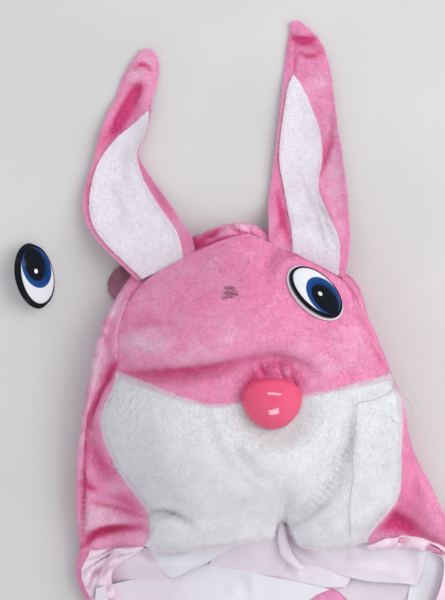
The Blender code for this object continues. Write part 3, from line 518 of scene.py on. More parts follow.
def pile_material(name, root, base, tip, deep_shade, pale, sheen, swing):
    """Fibres: darker at the root, which is painted shade among the fibres, and in creases, which is painted
    shade; lighter at the tip; each with its own tone.
    """
    material, tree, shader = new_material(name, sheen, (*tip[:3], 1), roughness=0.65, specular=0.25)
    along = mesh_value(tree, "along")
    # Darker at the root: painted shade among the fibres
    low = mix(tree, ramp(tree, along, 0.0, 0.55), root, base)
    high = mix(tree, ramp(tree, along, 0.45, 1.0), low, tip)
    # Towards the pale colour by brushed nap and painted light
    high = mix(tree, mesh_value(tree, "frost_and_light"), high, pale)
    high = mix(tree, mesh_value(tree, "crease_shade"), high, deep_shade)
    amount = ramp(tree, mesh_value(tree, "tone"), 0.0, 1.0, 1 - swing, 1 + swing)
    toned = add_node(tree, "ShaderNodeHueSaturation", {"Value": amount, "Color": high})
    paint(tree, shader, toned.outputs["Color"])
    return material


def satin_material(name, base, shade):
    """Thin smooth lining: faint weave, soft gloss and slightly uneven whiteness, with painted shade in the
    folds and gathers that the mesh names.
    """
    material, tree, shader = new_material(name, 0.25, roughness=0.5, specular=0.4)
    place = object_place(tree)
    waves = []
    for turn in ((0, 0, 0), (0, 0, math.pi / 2)):
        turned = add_node(tree, "ShaderNodeMapping", {"Vector": place, "Rotation": turn}).outputs[0]
        inputs = {"Vector": turned, "Scale": WEAVE, "Distortion": 0.4, "Detail": 1.0}
        waves.append(add_node(tree, "ShaderNodeTexWave", inputs).outputs["Fac"])
    tinted = cloudy(tree, place, 26.0, 3.0, (0.4, 0.65), base, shade)
    # Dark colour of the painted shade
    dark = (shade[0] * 0.7, shade[1] * 0.5, shade[2] * 0.6, 1)
    paint(tree, shader, mix(tree, mesh_value(tree, "crease_shade"), tinted, dark))
    roughen(tree, shader, 0.12, 0.0003, reckon(tree, "MAXIMUM", *waves))
    return material


def nose_material():
    """Moulded red plastic, glossy, faintly mottled, with fine scuffs."""
    material, tree, shader = new_material("nose_plastic", roughness=0.16, specular=0.5)
    for label, value in (
        ("Coat Weight", 0.4), ("Coat Roughness", 0.06), ("Subsurface Weight", 0.12),
        ("Subsurface Radius", (1.0, 0.2, 0.25)), ("Subsurface Scale", 0.004),
    ):
        shader.inputs[label].default_value = value
    place = object_place(tree)
    dark, pale = (0.78, 0.062, 0.165, 1), (0.81, 0.09, 0.20, 1)
    paint(tree, shader, cloudy(tree, place, 60.0, 3.0, (0.35, 0.7), dark, pale))
    scuff = noise(tree, place, 420.0, 4.0, Distortion=2.0)
    tree.links.new(ramp(tree, scuff, 0.5, 0.75, 0.13, 0.3), shader.inputs["Roughness"])
    return material


def make_oval_group():
    """Mask of an oval: 1 inside, 0 outside, from its centre, half sizes and soft edge."""
    tree, get, out = new_group(
        "oval_mask",
        (
            ("Vector", "Vector", None), ("Centre", "Vector", (0, 0, 0)),
            ("Half Sizes", "Vector", (1, 1, 1)), ("Edge", "Float", 0.02),
        ),
        (("Mask", "Float"),),
    )
    place = get["Vector"]
    for operation, label in (("SUBTRACT", "Centre"), ("DIVIDE", "Half Sizes")):
        inputs = {0: place, 1: get[label]}
        place = add_node(tree, "ShaderNodeVectorMath", inputs, operation=operation).outputs[0]
    reach = add_node(tree, "ShaderNodeVectorMath", {0: place}, operation="LENGTH").outputs["Value"]
    low, high = (reckon(tree, operation, 1.0, get["Edge"]) for operation in ("SUBTRACT", "ADD"))
    tree.links.new(ramp(tree, reach, low, high, 1.0, 0.0), out.inputs["Mask"])


def eye_material(name, side, roughness, edge_shift):
    """Printed eye under clear gloss: white, black line, blue oval, black oval, white dot."""
    material, tree, shader = new_material(name, roughness=roughness, specular=0.1)
    flat = tree.nodes.new("ShaderNodeUVMap").outputs["UV"]
    inputs = {0: flat, 1: (-0.5, -0.5, 0)}
    place = add_node(tree, "ShaderNodeVectorMath", inputs, operation="ADD").outputs[0]

    def oval(x, y, half_length, half_width, edge):
        values = {
            "Vector": place, "Centre": (x / 100, y * side / 100, 0),
            "Half Sizes": (half_length / 100, half_width / 100, 1), "Edge": edge,
        }
        group = bpy.data.node_groups["oval_mask"]
        return add_node(tree, "ShaderNodeGroup", values, node_tree=group).outputs["Mask"]

    white, black = (0.78, 0.79, 0.82, 1), (0.006, 0.007, 0.012, 1)
    blue = mix(tree, oval(7.0, 0.2, 12.8, 9.4, 0.3), (0.012, 0.062, 0.235, 1), (0.007, 0.03, 0.12, 1))
    colour = mix(tree, oval(6.6, 0.3, 17.2, 12.8, 0.03), white, blue)
    colour = mix(tree, oval(9.0, -1.5, 13.6, 8.6, 0.035), colour, black)
    colour = mix(tree, oval(3.2, -2.0, 1.8, 1.5, 0.14), colour, (0.85, 0.86, 0.88, 1))
    colour = mix(tree, oval(0, 0, 22.7, 13.9, 0.015), black, colour)
    line = oval(0, -edge_shift, 25.2 + 0.8 * edge_shift, 16.4 + 0.5 * edge_shift, 0.012)
    paint(tree, shader, mix(tree, line, (0.74, 0.72, 0.75, 1), colour))
    return material


def floor_material():
    """Pale matt surface with faint cloudy unevenness."""
    material, tree, shader = new_material("pale_surface", roughness=0.9, specular=0.1)
    place = object_place(tree)
    dark, pale = (0.655, 0.645, 0.642, 1), (0.70, 0.69, 0.682, 1)
    paint(tree, shader, cloudy(tree, place, 7.0, 5.0, (0.3, 0.7), dark, pale))
    roughen(tree, shader, 0.15, 0.0004, noise(tree, place, 300.0, 3.0))
    return material


def crumb_material():
    """Dried glue, grey brown and dull, darker in blotches."""
    material, tree, shader = new_material("dried_glue", roughness=0.55, specular=0.3)
    dark, pale = (0.26, 0.10, 0.15, 1), (0.50, 0.20, 0.31, 1)
    paint(tree, shader, cloudy(tree, object_place(tree), 900.0, 2.0, (0.35, 0.65), dark, pale))
    return material


def spline(rows, at):
    """Catmull-Rom curve through the rows of a table, read at fractional row numbers."""
    rows = np.asarray(rows, float)
    at = np.clip(np.asarray(at, float), 0, len(rows) - 1)
    k = np.minimum(at.astype(int), len(rows) - 2)
    f = (at - k)[:, None]
    ends = np.vstack([2 * rows[:1] - rows[1:2], rows, 2 * rows[-1:] - rows[-2:-1]])
    a, b, c, d = ends[k], ends[k + 1], ends[k + 2], ends[k + 3]
    return 0.5 * (
        2 * b + (c - a) * f + (2 * a - 5 * b + 4 * c - d) * f**2
        + (3 * b - a - 3 * c + d) * f**3
    )


def read(points, count):
    """A smooth curve through a few points, as count points."""
    return spline(points, np.linspace(0, len(points) - 1, count))


def smooth(t):
    """0 to 1 with level ends."""
    t = np.clip(t, 0, 1)
    return t * t * (3 - 2 * t)


def bend(curve, count):
    """Curve of three points x, y: even steps from 0 to 1 along it, and its x and y there."""
    x0, y0, xm, ym, x1, y1 = curve
    t = np.linspace(0, 1, count)
    cx = (1 - t) ** 2 * x0 + 2 * t * (1 - t) * xm + t**2 * x1
    cy = (1 - t) ** 2 * y0 + 2 * t * (1 - t) * ym + t**2 * y1
    return t, cx, cy


def folds(x, y, table):
    """Sum of soft ridges and valleys: each falls off as a bell from a curve of three points."""
    total = np.zeros(np.shape(x))
    for *curve, width, height in table:
        t, cx, cy = bend(curve, 25)
        away = (x[..., None] - cx) ** 2 + (y[..., None] - cy) ** 2
        near = np.exp(-away / width**2) * np.sin(np.pi * (0.12 + 0.76 * t))
        total += height * near.max(axis=-1)
    return total


def steps_of(x, y, table):
    """Sum of one-sided creases: steep on one side of the curve, running out on the other."""
    total = np.zeros(np.shape(x))
    for *curve, left, right, height in table:
        t, cx, cy = bend(curve, 41)
        tx, ty = np.gradient(cx), np.gradient(cy)
        dx, dy = x[..., None] - cx, y[..., None] - cy
        reach = np.where(tx * dy - ty * dx > 0, left, right)
        near = np.exp(-(dx**2 + dy**2) / reach**2) * np.sin(np.pi * (0.06 + 0.88 * t)) ** 0.7
        total += height * near.max(axis=-1)
    return total


def depth_of(x, y, table, full):
    """Share from 0 to 1 of how deep in a valley each point lies."""
    return np.clip(-folds(x, y, [row for row in table if row[7] < 0]) / full, 0, 1)


def shade_at(grid, table):
    """Share of painted shade, 0 to 1, by the lines of a table at each point of a grid."""
    return depth_of(grid[..., 0], grid[..., 1], table, 1.0)


def frost_and_light_of(x, y):
    """Share from 0 to 1 of pale brushed nap and painted light: soft spots broken up by waviness."""
    total = np.zeros(np.shape(x))
    for cx, cy, rx, ry, amount in FROST_AND_LIGHT_SPOTS:
        total = np.maximum(total, amount * np.exp(-(((x - cx) / rx) ** 2) - ((y - cy) / ry) ** 2))
    return np.clip(total * (1 + 0.5 * ripple(x, y, 17, 71)) + 0.12 * ripple(x, y, 30, 72), 0, 1)


def ripple(x, y, size, seed):
    """Smooth uneven waviness from -1 to 1: a sum of sine waves in seeded directions."""
    rng = np.random.default_rng(seed)
    total = np.zeros(np.shape(x))
    for _ in range(7):
        turn = rng.uniform(0, math.pi)
        pitch = size * rng.uniform(0.6, 1.7)
        along = x * math.cos(turn) + y * math.sin(turn)
        total += np.sin(along * 2 * math.pi / pitch + rng.uniform(0, 6.28))
    return total / 4.0


def normals_of(grid):
    """Unit normals of a grid of points, from the differences along its two ways."""
    across = np.cross(np.gradient(grid, axis=0), np.gradient(grid, axis=1))
    return across / np.maximum(np.linalg.norm(across, axis=2, keepdims=True), TINY)


def upward(grid):
    """Unit normals of a grid, each turned to the side that faces up."""
    up = normals_of(grid)
    return up * np.sign(up[..., 2:3])


def bell_of(reach, width):
    """Weights of a bell from minus to plus its reach, their sum 1."""
    bell = np.exp(-((np.arange(-reach, reach + 1) / width) ** 2))
    return bell / bell.sum()


def pull_in(grid, ends, amount=SEAM / 2):
    """The grid with the named edge lines moved towards the line next to them."""
    grid = grid.copy()
    for axis, end in ends:
        lines = np.moveaxis(grid, axis, 0)
        edge, inner = (0, 1) if end == 0 else (-1, -2)
        step = lines[inner] - lines[edge]
        length = np.maximum(np.linalg.norm(step, axis=1, keepdims=True), TINY)
        lines[edge] += step / length * np.minimum(amount, 0.45 * length)
    return grid


class Outline:
    """Rim of the padded front about the nose, in polar form, for reading any point."""

    def __init__(self, rim):
        angle = np.arctan2(rim[:, 1], rim[:, 0])
        order = np.argsort(angle)
        self.angle = angle[order]
        self.reach = np.hypot(rim[order, 0], rim[order, 1])
        self.z = rim[order, 2]
        self.even = np.linspace(-math.pi, math.pi, 721)[:-1]
        bell = np.exp(-((self.even / 0.16) ** 2))
        self.soft = [
            np.fft.irfft(
                np.fft.rfft(np.interp(self.even, self.angle, line, period=2 * math.pi))
                * np.fft.rfft(np.fft.ifftshift(bell / bell.sum())),
                720,
            )
            for line in (self.reach, self.z)
        ]

    def share(self, x, y):
        """Distance from the nose as a share of the way to the rim, and the rim's height.

        Both follow the rim itself near it, and a rim with its corners evened out further in.
        """
        angle = np.arctan2(y, x)
        reach = np.interp(angle, self.angle, self.reach, period=2 * math.pi)
        height = np.interp(angle, self.angle, self.z, period=2 * math.pi)
        share = np.clip(np.hypot(x, y) / reach, 0, 1)
        near = share**14
        soft = [np.interp(angle, self.even, line, period=2 * math.pi) for line in self.soft]
        inner = np.clip(np.hypot(x, y) / soft[0], 0, 1.05)
        return np.clip(inner * (1 - near) + share * near, 0, 1), soft[1] * (1 - near) + height * near


def front_height(x, y, outline):
    """Height of the hood's padded front: a dome on the rim, with bulges, folds and seats."""
    share, rim = outline.share(x, y)
    z = rim + (NOSE_Z - rim) * (1 - share**DOME_POWER)
    fade = 1 - share**5
    for bx, by, rx, ry, height in BULGES:
        z += height * fade * np.exp(-(((x - bx) / rx) ** 2) - ((y - by) / ry) ** 2)
    z += folds(x, y, FRONT_FOLDS) * (1 - share**8)
    fine = folds(x, y, FINE_FRONT) + steps_of(x, y, FRONT_STEPS) + 0.5 * ripple(x, y, 34, 5)
    z += fine * (1 - share**10)
    for sx, sy, length, width, turn, seat, slope_x, slope_y in SEATS:
        c, s = math.cos(math.radians(turn)), math.sin(math.radians(turn))
        along = ((x - sx) * c + (y - sy) * s) / length
        aside = ((y - sy) * c - (x - sx) * s) / width
        inside = 1 - smooth((np.hypot(along, aside) - 1.0) / (0.45 if slope_x else 1.1))
        z = z * (1 - inside) + inside * (seat + slope_x * (x - sx) + slope_y * (y - sy))
    return z + folds(x, y, NOSE_PLEATS) * smooth((np.hypot(x / 23, y / 20) - 0.95) / 0.15)


def hood_profile(row, sides, under):
    """Profile of the hood's side: out from the seam, round the edge, under to the surface."""
    rx, ry, rz, _slot, ex, ey, ez, dip = row
    f = np.linspace(0, 1, sides)
    out = np.sin(f * math.pi / 2)[:, None]
    side = np.hstack([(1 - out) * [rx, ry] + out * [ex, ey], np.zeros((sides, 1))])
    side[:, 2] = ez + (rz - ez) * np.cos(f * math.pi / 2) ** 1.3
    side[:, 2] -= dip * np.sin(np.pi * np.minimum(f / 0.62, 1)) ** 2
    g = np.linspace(0, 1, under + 1)[1:]
    way = np.array([rx - ex, ry - ey]) / math.hypot(rx - ex, ry - ey)
    inset = min(1.3 * ez, 30.0)
    turn = (1 - np.cos(g * math.pi / 2))[:, None]
    below = np.hstack([np.array([ex, ey]) + inset * turn * way, np.zeros((under, 1))])
    below[:, 2] = ez * (1 - np.sin(g * math.pi / 2))
    below[-1, 2] = 0.0
    return np.vstack([side, below])


def hood_rows(steps, first=0, last=len(HOOD_ROWS) - 1):
    """Rows of the hood's side table, read smoothly at several steps an interval."""
    rows = spline(HOOD_ROWS, np.linspace(first, last, (last - first) * steps + 1))
    rows[:, 3] = np.maximum(rows[:, 3], 0)
    return rows


def face_rim(steps):
    """Closed rim of the padded front, from the left foot round the crown and along the hem."""
    upper = hood_rows(steps, FOOT_LEFT, FOOT_RIGHT)
    upper = np.column_stack([upper[:, 0], upper[:, 1], upper[:, 2] + upper[:, 3]])
    last = len(MUZZLE_HEM) - 1
    hem = spline(MUZZLE_HEM, np.linspace(0, last, last * (steps - 1) + 1))
    return np.vstack([upper, hem[1:-1]])


def face_grid():
    """Grid of the padded front: one line for each rim point, from the nose's shank out.

    The lines near the left corner bow towards the chin, as the seam between the pink and
    the white plush does there.
    """
    rim = face_rim(STEPS)
    outline = Outline(face_rim(30))
    reach = np.hypot(rim[:, 0], rim[:, 1])
    close = np.linspace(SHANK_HOLE, NOSE_CLEAR, RINGS // 5)
    rest = np.linspace(0, 1, RINGS - len(close) + 1)[None, 1:]
    near = close[None, :] / reach[:, None]
    share = np.hstack([near, near[:, -1:] * (1 - rest) + rest])
    angle = np.arctan2(rim[:, 1], rim[:, 0])[:, None]
    aside = np.angle(np.exp(1j * (angle - math.radians(SEAM_ANGLE))))
    bow = np.interp(share, *np.transpose(SEAM_BOW)) * np.exp(-((aside / 0.75) ** 2))
    angle = angle + np.radians(bow)
    x, y = np.cos(angle) * reach[:, None] * share, np.sin(angle) * reach[:, None] * share
    grid = np.stack([x, y, front_height(x, y, outline)], axis=2)
    grid[:, -1, 2] = rim[:, 2]
    return grid


def wrapped(grid, first, last):
    """Lines first to last of a closed grid, going round past its end."""
    return grid[np.arange(first, last + 1) % len(grid)]


def shell_faces(n, m, tube=False):
    """Four-cornered faces of a closed wall between two grids, outer points before inner."""
    index = np.arange(n * m).reshape(n, m)
    ahead = np.roll(index, -1, axis=0) if tube else index[1:]
    here = index if tube else index[:-1]
    a, b, c, d = here[:, :-1], ahead[:, :-1], ahead[:, 1:], here[:, 1:]
    outer = np.stack([a, b, c, d], axis=2).reshape(-1, 4)
    inner = n * m + outer[:, ::-1]
    rims = []
    for j in (0, m - 1):
        p, q = here[:, j], ahead[:, j]
        rim = np.stack([p, p + n * m, q + n * m, q], axis=1)
        rims.append(rim if j == 0 else rim[:, ::-1])
    if not tube:
        for i in (0, n - 1):
            p, q = index[i, :-1], index[i, 1:]
            rim = np.stack([p, q, q + n * m, p + n * m], axis=1)
            rims.append(rim if i == 0 else rim[:, ::-1])
    return np.vstack([outer, inner, *rims])


def ring_faces(rings, count):
    """Four-cornered faces between rings of points, each ring closed on itself."""
    here = np.arange(rings * count).reshape(rings, count)
    ahead = np.roll(here, -1, axis=1)
    return np.stack([here[:-1], ahead[:-1], ahead[1:], here[1:]], axis=2).reshape(-1, 4)


def add_mesh(name, points, faces, material, values=None, uv=None):
    """Mesh object from points in millimetres about the nose, with point values by name."""
    mesh = bpy.data.meshes.new(name)
    points = np.asarray(points, float).reshape(-1, 3) * MM + NOSE_AT
    faces = np.asarray(faces)
    sides = faces.shape[1]
    mesh.vertices.add(len(points))
    mesh.vertices.foreach_set("co", points.ravel())
    mesh.loops.add(faces.size)
    mesh.loops.foreach_set("vertex_index", faces.ravel().astype(np.int32))
    mesh.polygons.add(len(faces))
    mesh.polygons.foreach_set("loop_start", np.arange(0, faces.size, sides, dtype=np.int32))
    mesh.update(calc_edges=True)
    for label, data in (values or {}).items():
        layer = mesh.attributes.new(label, "FLOAT", "POINT")
        layer.data.foreach_set("value", np.asarray(data, np.float32).ravel())
    if uv is not None:
        layer = mesh.uv_layers.new(name="UVMap")
        layer.data.foreach_set("uv", np.asarray(uv, np.float32)[faces.ravel()].ravel())
    mesh.materials.append(material)
    thing = bpy.data.objects.new(name, mesh)
    bpy.context.scene.collection.objects.link(thing)
    return thing


def finish_shell(thing, soft_edge=0.0):
    """Doubles merged, faces turned outwards, smooth shading, and edges rounded if asked."""
    shape = bmesh.new()
    shape.from_mesh(thing.data)
    bmesh.ops.remove_doubles(shape, verts=shape.verts, dist=0.00001)
    bmesh.ops.recalc_face_normals(shape, faces=shape.faces)
    shape.to_mesh(thing.data)
    shape.free()
    thing.data.shade_smooth()
    if soft_edge:
        bevel = thing.modifiers.new("soft edge", "BEVEL")
        bevel.width = soft_edge * MM
        bevel.segments = 2
        bevel.limit_method = "ANGLE"
        bevel.angle_limit = math.radians(50)
    else:
        thing.data.set_sharp_from_angle(angle=math.radians(55))
    return thing


def hold(thing, nodes=None):
    """The piece rides on the one body and stands for CAD nodes, which are hidden."""
    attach(thing, "root")
    if nodes is not None:
        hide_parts(*nodes)
    return thing


def cloth_wall(name, outer, inner, material, nodes, crease_shade=None, tube=False, edge=0.7):
    """Closed wall of cloth that stands for CAD nodes, in the given material."""
    n, m = outer.shape[:2]
    deep_shade = np.zeros((n, m)) if crease_shade is None else crease_shade
    points = np.vstack([outer.reshape(-1, 3), inner.reshape(-1, 3)])
    # Painted shade in creases, and pale brushed nap with painted light, held at each point
    values = {
        "crease_shade": np.concatenate([deep_shade.ravel(), deep_shade.ravel()]),
        "frost_and_light": np.tile(frost_and_light_of(outer[..., 0], outer[..., 1]).ravel(), 2),
    }
    thing = add_mesh(name, points, shell_faces(n, m, tube), material, values)
    return hold(finish_shell(thing, edge), nodes)


def add_pile(name, grid, normals, material, slot, crease_shade=None):
    """Fibres on a grid: slim triangles rooted at seeded places, leaning with the nap.

    A root is a bilinear point of a cell picked by its area.  The fibre leaves along the
    normal tilted by the lean towards a heading that wavers slowly over the cloth.
    """
    count, length, width, lean, heading, seed = PILES[name]
    rng = np.random.default_rng(seed)
    count = int(count * PILE_SHARE)
    a, b, c, d = grid[:-1, :-1], grid[1:, :-1], grid[1:, 1:], grid[:-1, 1:]
    area = np.linalg.norm(np.cross(c - a, d - b), axis=2).ravel()
    cell = rng.choice(area.size, count, p=area / area.sum())
    i, j = np.divmod(cell, grid.shape[1] - 1)
    u, v = rng.random((2, count, 1))

    def blend(data):
        return (
            data[i, j] * (1 - u) * (1 - v) + data[i + 1, j] * u * (1 - v)
            + data[i + 1, j + 1] * u * v + data[i, j + 1] * (1 - u) * v
        )

    root, up = blend(grid), blend(normals)
    up /= np.maximum(np.linalg.norm(up, axis=1, keepdims=True), TINY)
    waver = ripple(root[:, 0], root[:, 1], 46, seed + 1) + 0.5 * ripple(root[:, 0], root[:, 1], 15, seed + 2)
    spread = FUZZ_SPREAD if "fuzz" in name else NAP_SPREAD
    turn = math.radians(heading) + 0.8 * waver + rng.normal(0, spread, count)
    flat = np.column_stack([np.cos(turn), np.sin(turn), np.zeros(count)])
    flat -= up * np.sum(flat * up, axis=1, keepdims=True)
    flat /= np.maximum(np.linalg.norm(flat, axis=1, keepdims=True), TINY)
    tilt = np.radians(np.clip(rng.normal(lean, 11, count), 8, 82))[:, None]
    way = up * np.cos(tilt) + flat * np.sin(tilt)
    side = np.cross(up, flat)
    reach = length * rng.uniform(0.6, 1.3, (count, 1))
    half = width / 2 * rng.uniform(0.7, 1.3, (count, 1))
    root = root - up * PILE_SINK
    points = np.stack([root - side * half, root + side * half, root + way * reach], axis=1)
    tone = np.clip(0.5 + 0.22 * waver + rng.normal(0, 0.22, count), 0, 1)
    # Painted shade in the creases under the fibres
    deep_shade = np.zeros(count) if crease_shade is None else np.clip(blend(crease_shade[..., None])[:, 0], 0, 1)
    # Pale brushed nap and painted light on the fibres, as on the cloth
    pale = frost_and_light_of(root[:, 0], root[:, 1])
    # Tufts in the fibres' colour: pale clump tops are painted highlights, the gaps between them painted
    # shade
    if slot == "white_plush":
        x, y, half_x, half_y = TUFT_LIGHT_AND_SHADE
        spot = np.exp(-(((root[:, 0] - x) / half_x) ** 2) - ((root[:, 1] - y) / half_y) ** 2)
        clump = ripple(root[:, 0], root[:, 1], 4.0, 77)
        pale = np.maximum(spot * smooth(0.5 + 1.6 * clump), pale)
        deep_shade = np.clip(deep_shade + 0.45 * spot * smooth(-1.6 * clump), 0, 1)
    values = {
        "tone": np.repeat(tone, 3),
        "along": np.tile([0.0, 0.0, 1.0], count),
        "crease_shade": np.repeat(deep_shade, 3),
        "frost_and_light": np.repeat(pale * (0.55 + 0.45 * rng.random(count)), 3),
    }
    return hold(add_mesh(name, points, np.arange(3 * count).reshape(-1, 3), material, values))


def face_with_normals():
    """Grid of the padded front and its normals, the rim's shared with the hood's sides."""
    grid = face_grid()
    beyond = grid[:, -1:] * 2 - grid[:, -2:-1]
    upper = hood_rows(STEPS, FOOT_LEFT, FOOT_RIGHT)
    beyond[: len(upper), 0] = [hood_profile(row, HOOD_SIDES, 4)[1] + [0, 0, row[3]] for row in upper]
    around = np.concatenate([grid[-1:], grid, grid[:1]])
    outside = np.concatenate([beyond[-1:], beyond, beyond[:1]])
    normals = normals_of(np.concatenate([around, outside], axis=1))[1:-1, :-1]
    return grid, normals


def make_front(pink, white, pink_pile, white_pile, fuzz):
    """Forehead and muzzle walls with their pile."""
    grid, normals = face_with_normals()
    x, y = grid[..., 0], grid[..., 1]
    # Painted shade in the valleys of the folds, steps and pleats, and along the lines of NOSE_SHADE
    crease_shade = depth_of(x, y, FINE_FRONT, 3.4) - steps_of(x, y, FRONT_STEPS) / 3.4
    crease_shade = crease_shade + 0.3 * depth_of(x, y, FRONT_FOLDS, 8) + depth_of(x, y, NOSE_PLEATS, 2.0)
    crease_shade = np.clip(crease_shade + depth_of(x, y, NOSE_SHADE, 1.0), 0, 1)
    first = (CORNER_LEFT - FOOT_LEFT) * STEPS
    last = (CORNER_RIGHT - FOOT_LEFT) * STEPS
    end = first + len(grid)
    edges = ((0, 0), (0, 1), (1, 1))
    parts = (
        ("forehead", first, last, FOREHEAD_WALL, pink, pink_pile, "pink_plush", 0.75),
        ("muzzle", last, end, MUZZLE_WALL, white, white_pile, "white_plush", 0.25),
    )
    for node, a, b, thick, material, pile, slot, share in parts:
        outer, own = wrapped(grid, a, b), wrapped(normals, a, b)
        taper = 1 - RIM_TAPER * np.linspace(0, 1, outer.shape[1])[None, :, None] ** 4
        inner = pull_in(outer - own * thick * taper, edges)
        outer = pull_in(outer, edges)
        deep_shade = wrapped(crease_shade, a, b)
        cloth_wall(f"{node}_cloth", outer, inner, material, [node], deep_shade * share)
        # On the muzzle, fainter painted shade of the folds and the painted shade lines of the chin and the
        # snout
        if node == "muzzle":
            deep_shade = np.clip(deep_shade * 0.2 + shade_at(outer, SNOUT_SHADE), 0, 1)
        add_pile(f"{node}_pile", outer, own, pile, slot, deep_shade)
    for word, a, b, rings in (
        ("left", first - 1, first + 1, slice(None)), ("right", last - 1, last + 1, slice(None)),
        ("side", last, end, slice(-3, None)),
    ):
        lines, ups = wrapped(grid, a, b)[:, rings], wrapped(normals, a, b)[:, rings]
        add_pile(f"seam_fuzz_{word}", lines, ups, fuzz, "white_plush")


def make_hood_back(pink, pink_pile):
    """Left and right halves of the hood's back and sides with their pile."""
    rows = hood_rows(STEPS)
    lines = []
    for row in rows:
        profile = hood_profile(row, HOOD_SIDES, HOOD_UNDER)
        centre = np.array([SPINE_X, min(row[5], CROWN_Y), 0.0])
        inner = [profile[-1] + (centre - profile[-1]) * share for share in np.linspace(0.2, 1, 5)]
        lines.append(np.vstack([profile, inner]))
    grid = np.array(lines)
    before = 2 * grid[:, 0] - grid[:, 1]
    face, face_normals = face_with_normals()
    shared = slice(FOOT_LEFT * STEPS, FOOT_RIGHT * STEPS + 1)
    count = (FOOT_RIGHT - FOOT_LEFT) * STEPS + 1
    before[shared] = face[:count, -2]
    normals = normals_of(np.concatenate([before[:, None], grid], axis=1))[:, 1:]
    fade = np.zeros(grid.shape[:2])
    fade[:, :HOOD_SIDES] = np.sin(np.linspace(0, 1, HOOD_SIDES) * math.pi * 0.72 + 0.1)
    x, y = grid[..., 0], grid[..., 1]
    rise = (folds(x, y, SIDE_FOLDS) + 0.5 * ripple(x, y, 22, 8)) * fade
    # Painted shade in the side folds' valleys and along the lines of CROWN_SHADE
    crease_shade = depth_of(x, y, SIDE_FOLDS, 4.5) * np.clip(fade * 1.4 + 0.4, 0, 1)
    crease_shade = np.clip(crease_shade + shade_at(grid, CROWN_SHADE), 0, 1)
    grid = grid + normals * rise[..., None]
    grid[..., 2] = np.maximum(grid[..., 2], 0)
    normals = normals_of(np.concatenate([before[:, None], grid], axis=1))[:, 1:]
    normals[:, -5:] = (0, 0, -1)
    normals[shared, 0] = face_normals[:count, -1]
    normals[[0, -1], :, 1] = 0
    inner = grid - normals * CLOTH
    middle = CROWN_ROW * STEPS
    for word, a, b, side in (("left", 0, middle, -1), ("right", middle, len(grid) - 1, 1)):
        shift = np.zeros((b - a + 1, grid.shape[1], 3))
        shift[:, -1, 0] = side * SEAM / 2
        shift[middle - a, :, 0] = side * SEAM / 2
        outer = pull_in(grid[a : b + 1] + shift, ((1, 0),))
        wall = cloth_wall(
            f"hood_{word}_cloth", outer, pull_in(inner[a : b + 1] + shift, ((1, 0),)), pink,
            [f"hood_back_{word}"], crease_shade[a : b + 1],
        )
        shown = slice(0, HOOD_SIDES + 4)
        add_pile(
            f"hood_{word}_pile", outer[:, shown], normals[a : b + 1, shown], pink_pile, "pink_plush",
            crease_shade[a : b + 1, shown],
        )


def ear_surface(table, at, across):
    """Underside of an ear: rows read along it, bent across by their three heights."""
    rows = spline(table, at)
    u = np.broadcast_to(across, (len(rows), len(across)))
    x = rows[:, 0:1] * (1 - u) + rows[:, 2:3] * u
    y = rows[:, 1:2] * (1 - u) + rows[:, 3:4] * u
    left, mid, right = rows[:, 4:5], rows[:, 5:6], rows[:, 6:7]
    z = left * (1 - u) * (1 - 2 * u) + 4 * mid * u * (1 - u) + right * u * (2 * u - 1)
    middle = np.minimum(1, 4 * u * (1 - u))
    z = z + folds(x, y, EAR_FOLDS) * middle
    fine = folds(x, y, FINE_EAR) + 0.45 * ripple(x, y, 26, 3)
    z = z + fine * middle * smooth((len(table) - 1 - at) * 2)[:, None]
    return np.stack([x, y, np.maximum(z, 0)], axis=2)


def make_ear(side, table, edges, pink, white, pink_pile, white_pile, fuzz):
    """An ear: pink shell, white panel lying in it, and the pile of both."""
    end = len(table) - 1
    steps, across = 12, 29
    at = np.linspace(0, end, end * steps + 1)
    own = np.linspace(0, 1, across)
    under = ear_surface(table, at, own)
    over = under + [0, 0, CLOTH]
    x, y = under[..., 0], under[..., 1]
    # Painted shade in the ear's folds
    crease_shade = np.clip(depth_of(x, y, EAR_FOLDS, 3.5) + depth_of(x, y, FINE_EAR, 2.0), 0, 1)
    shell = cloth_wall(f"ear_{side}_cloth", over, under, pink, [f"ear_{side}"], crease_shade)
    edges = np.array(edges, float)
    panel = []
    for place in np.linspace(edges[0, 0], end, int((end - edges[0, 0]) * steps) + 1):
        line = ear_surface(table, np.array([place]), own)
        share = spline(edges, [np.interp(place, edges[:, 0], np.arange(len(edges)))])[0]
        u = np.linspace(share[1], share[2], across)
        panel.append(np.column_stack([np.interp(u, own, line[0, :, k]) for k in range(3)]))
    panel = np.array(panel) + [0, 0, CLOTH + 1.3 * SEAM]
    top = panel + [0, 0, WHITE_EAR]
    # Painted shade in the panel's creases, and pinkish painted shade towards the ear's base
    shade_tint = 0.6 * depth_of(panel[..., 0], panel[..., 1], FINE_EAR, 2.2)
    shade_tint = np.clip(shade_tint + 0.35 * smooth(np.linspace(-5, 1, len(panel)))[:, None], 0, 1)
    lining = cloth_wall(
        f"ear_{side}_white_cloth", top, panel, white, [f"ear_{side}_white"], shade_tint
    )
    up, panel_up = upward(over), upward(top)
    add_pile(f"ear_{side}_pile", over, up, pink_pile, "pink_plush", crease_shade)
    add_pile(f"ear_{side}_white_pile", top, panel_up, white_pile, "white_plush", shade_tint)
    for part, lines, ups, pile, slot in (
        ("ear", over, up, pink_pile, "pink_plush"), ("panel", top, panel_up, fuzz, "white_plush"),
    ):
        for word, edge in (("near", slice(0, 3)), ("far", slice(-3, None))):
            add_pile(f"{part}_{side}_{word}_fuzz", lines[:, edge], ups[:, edge], pile, slot)


def turned_solid(name, levels, material, place, uv=None):
    """Closed solid through rings of points, its ends closed to a point: (ring, height) each."""
    count = len(levels[0][0])
    points = np.vstack([np.column_stack([ring, np.full(count, z)]) for ring, z in levels])
    faces = ring_faces(len(levels), count)
    return finish_shell(add_mesh(name, place(points), faces, material, uv=uv))


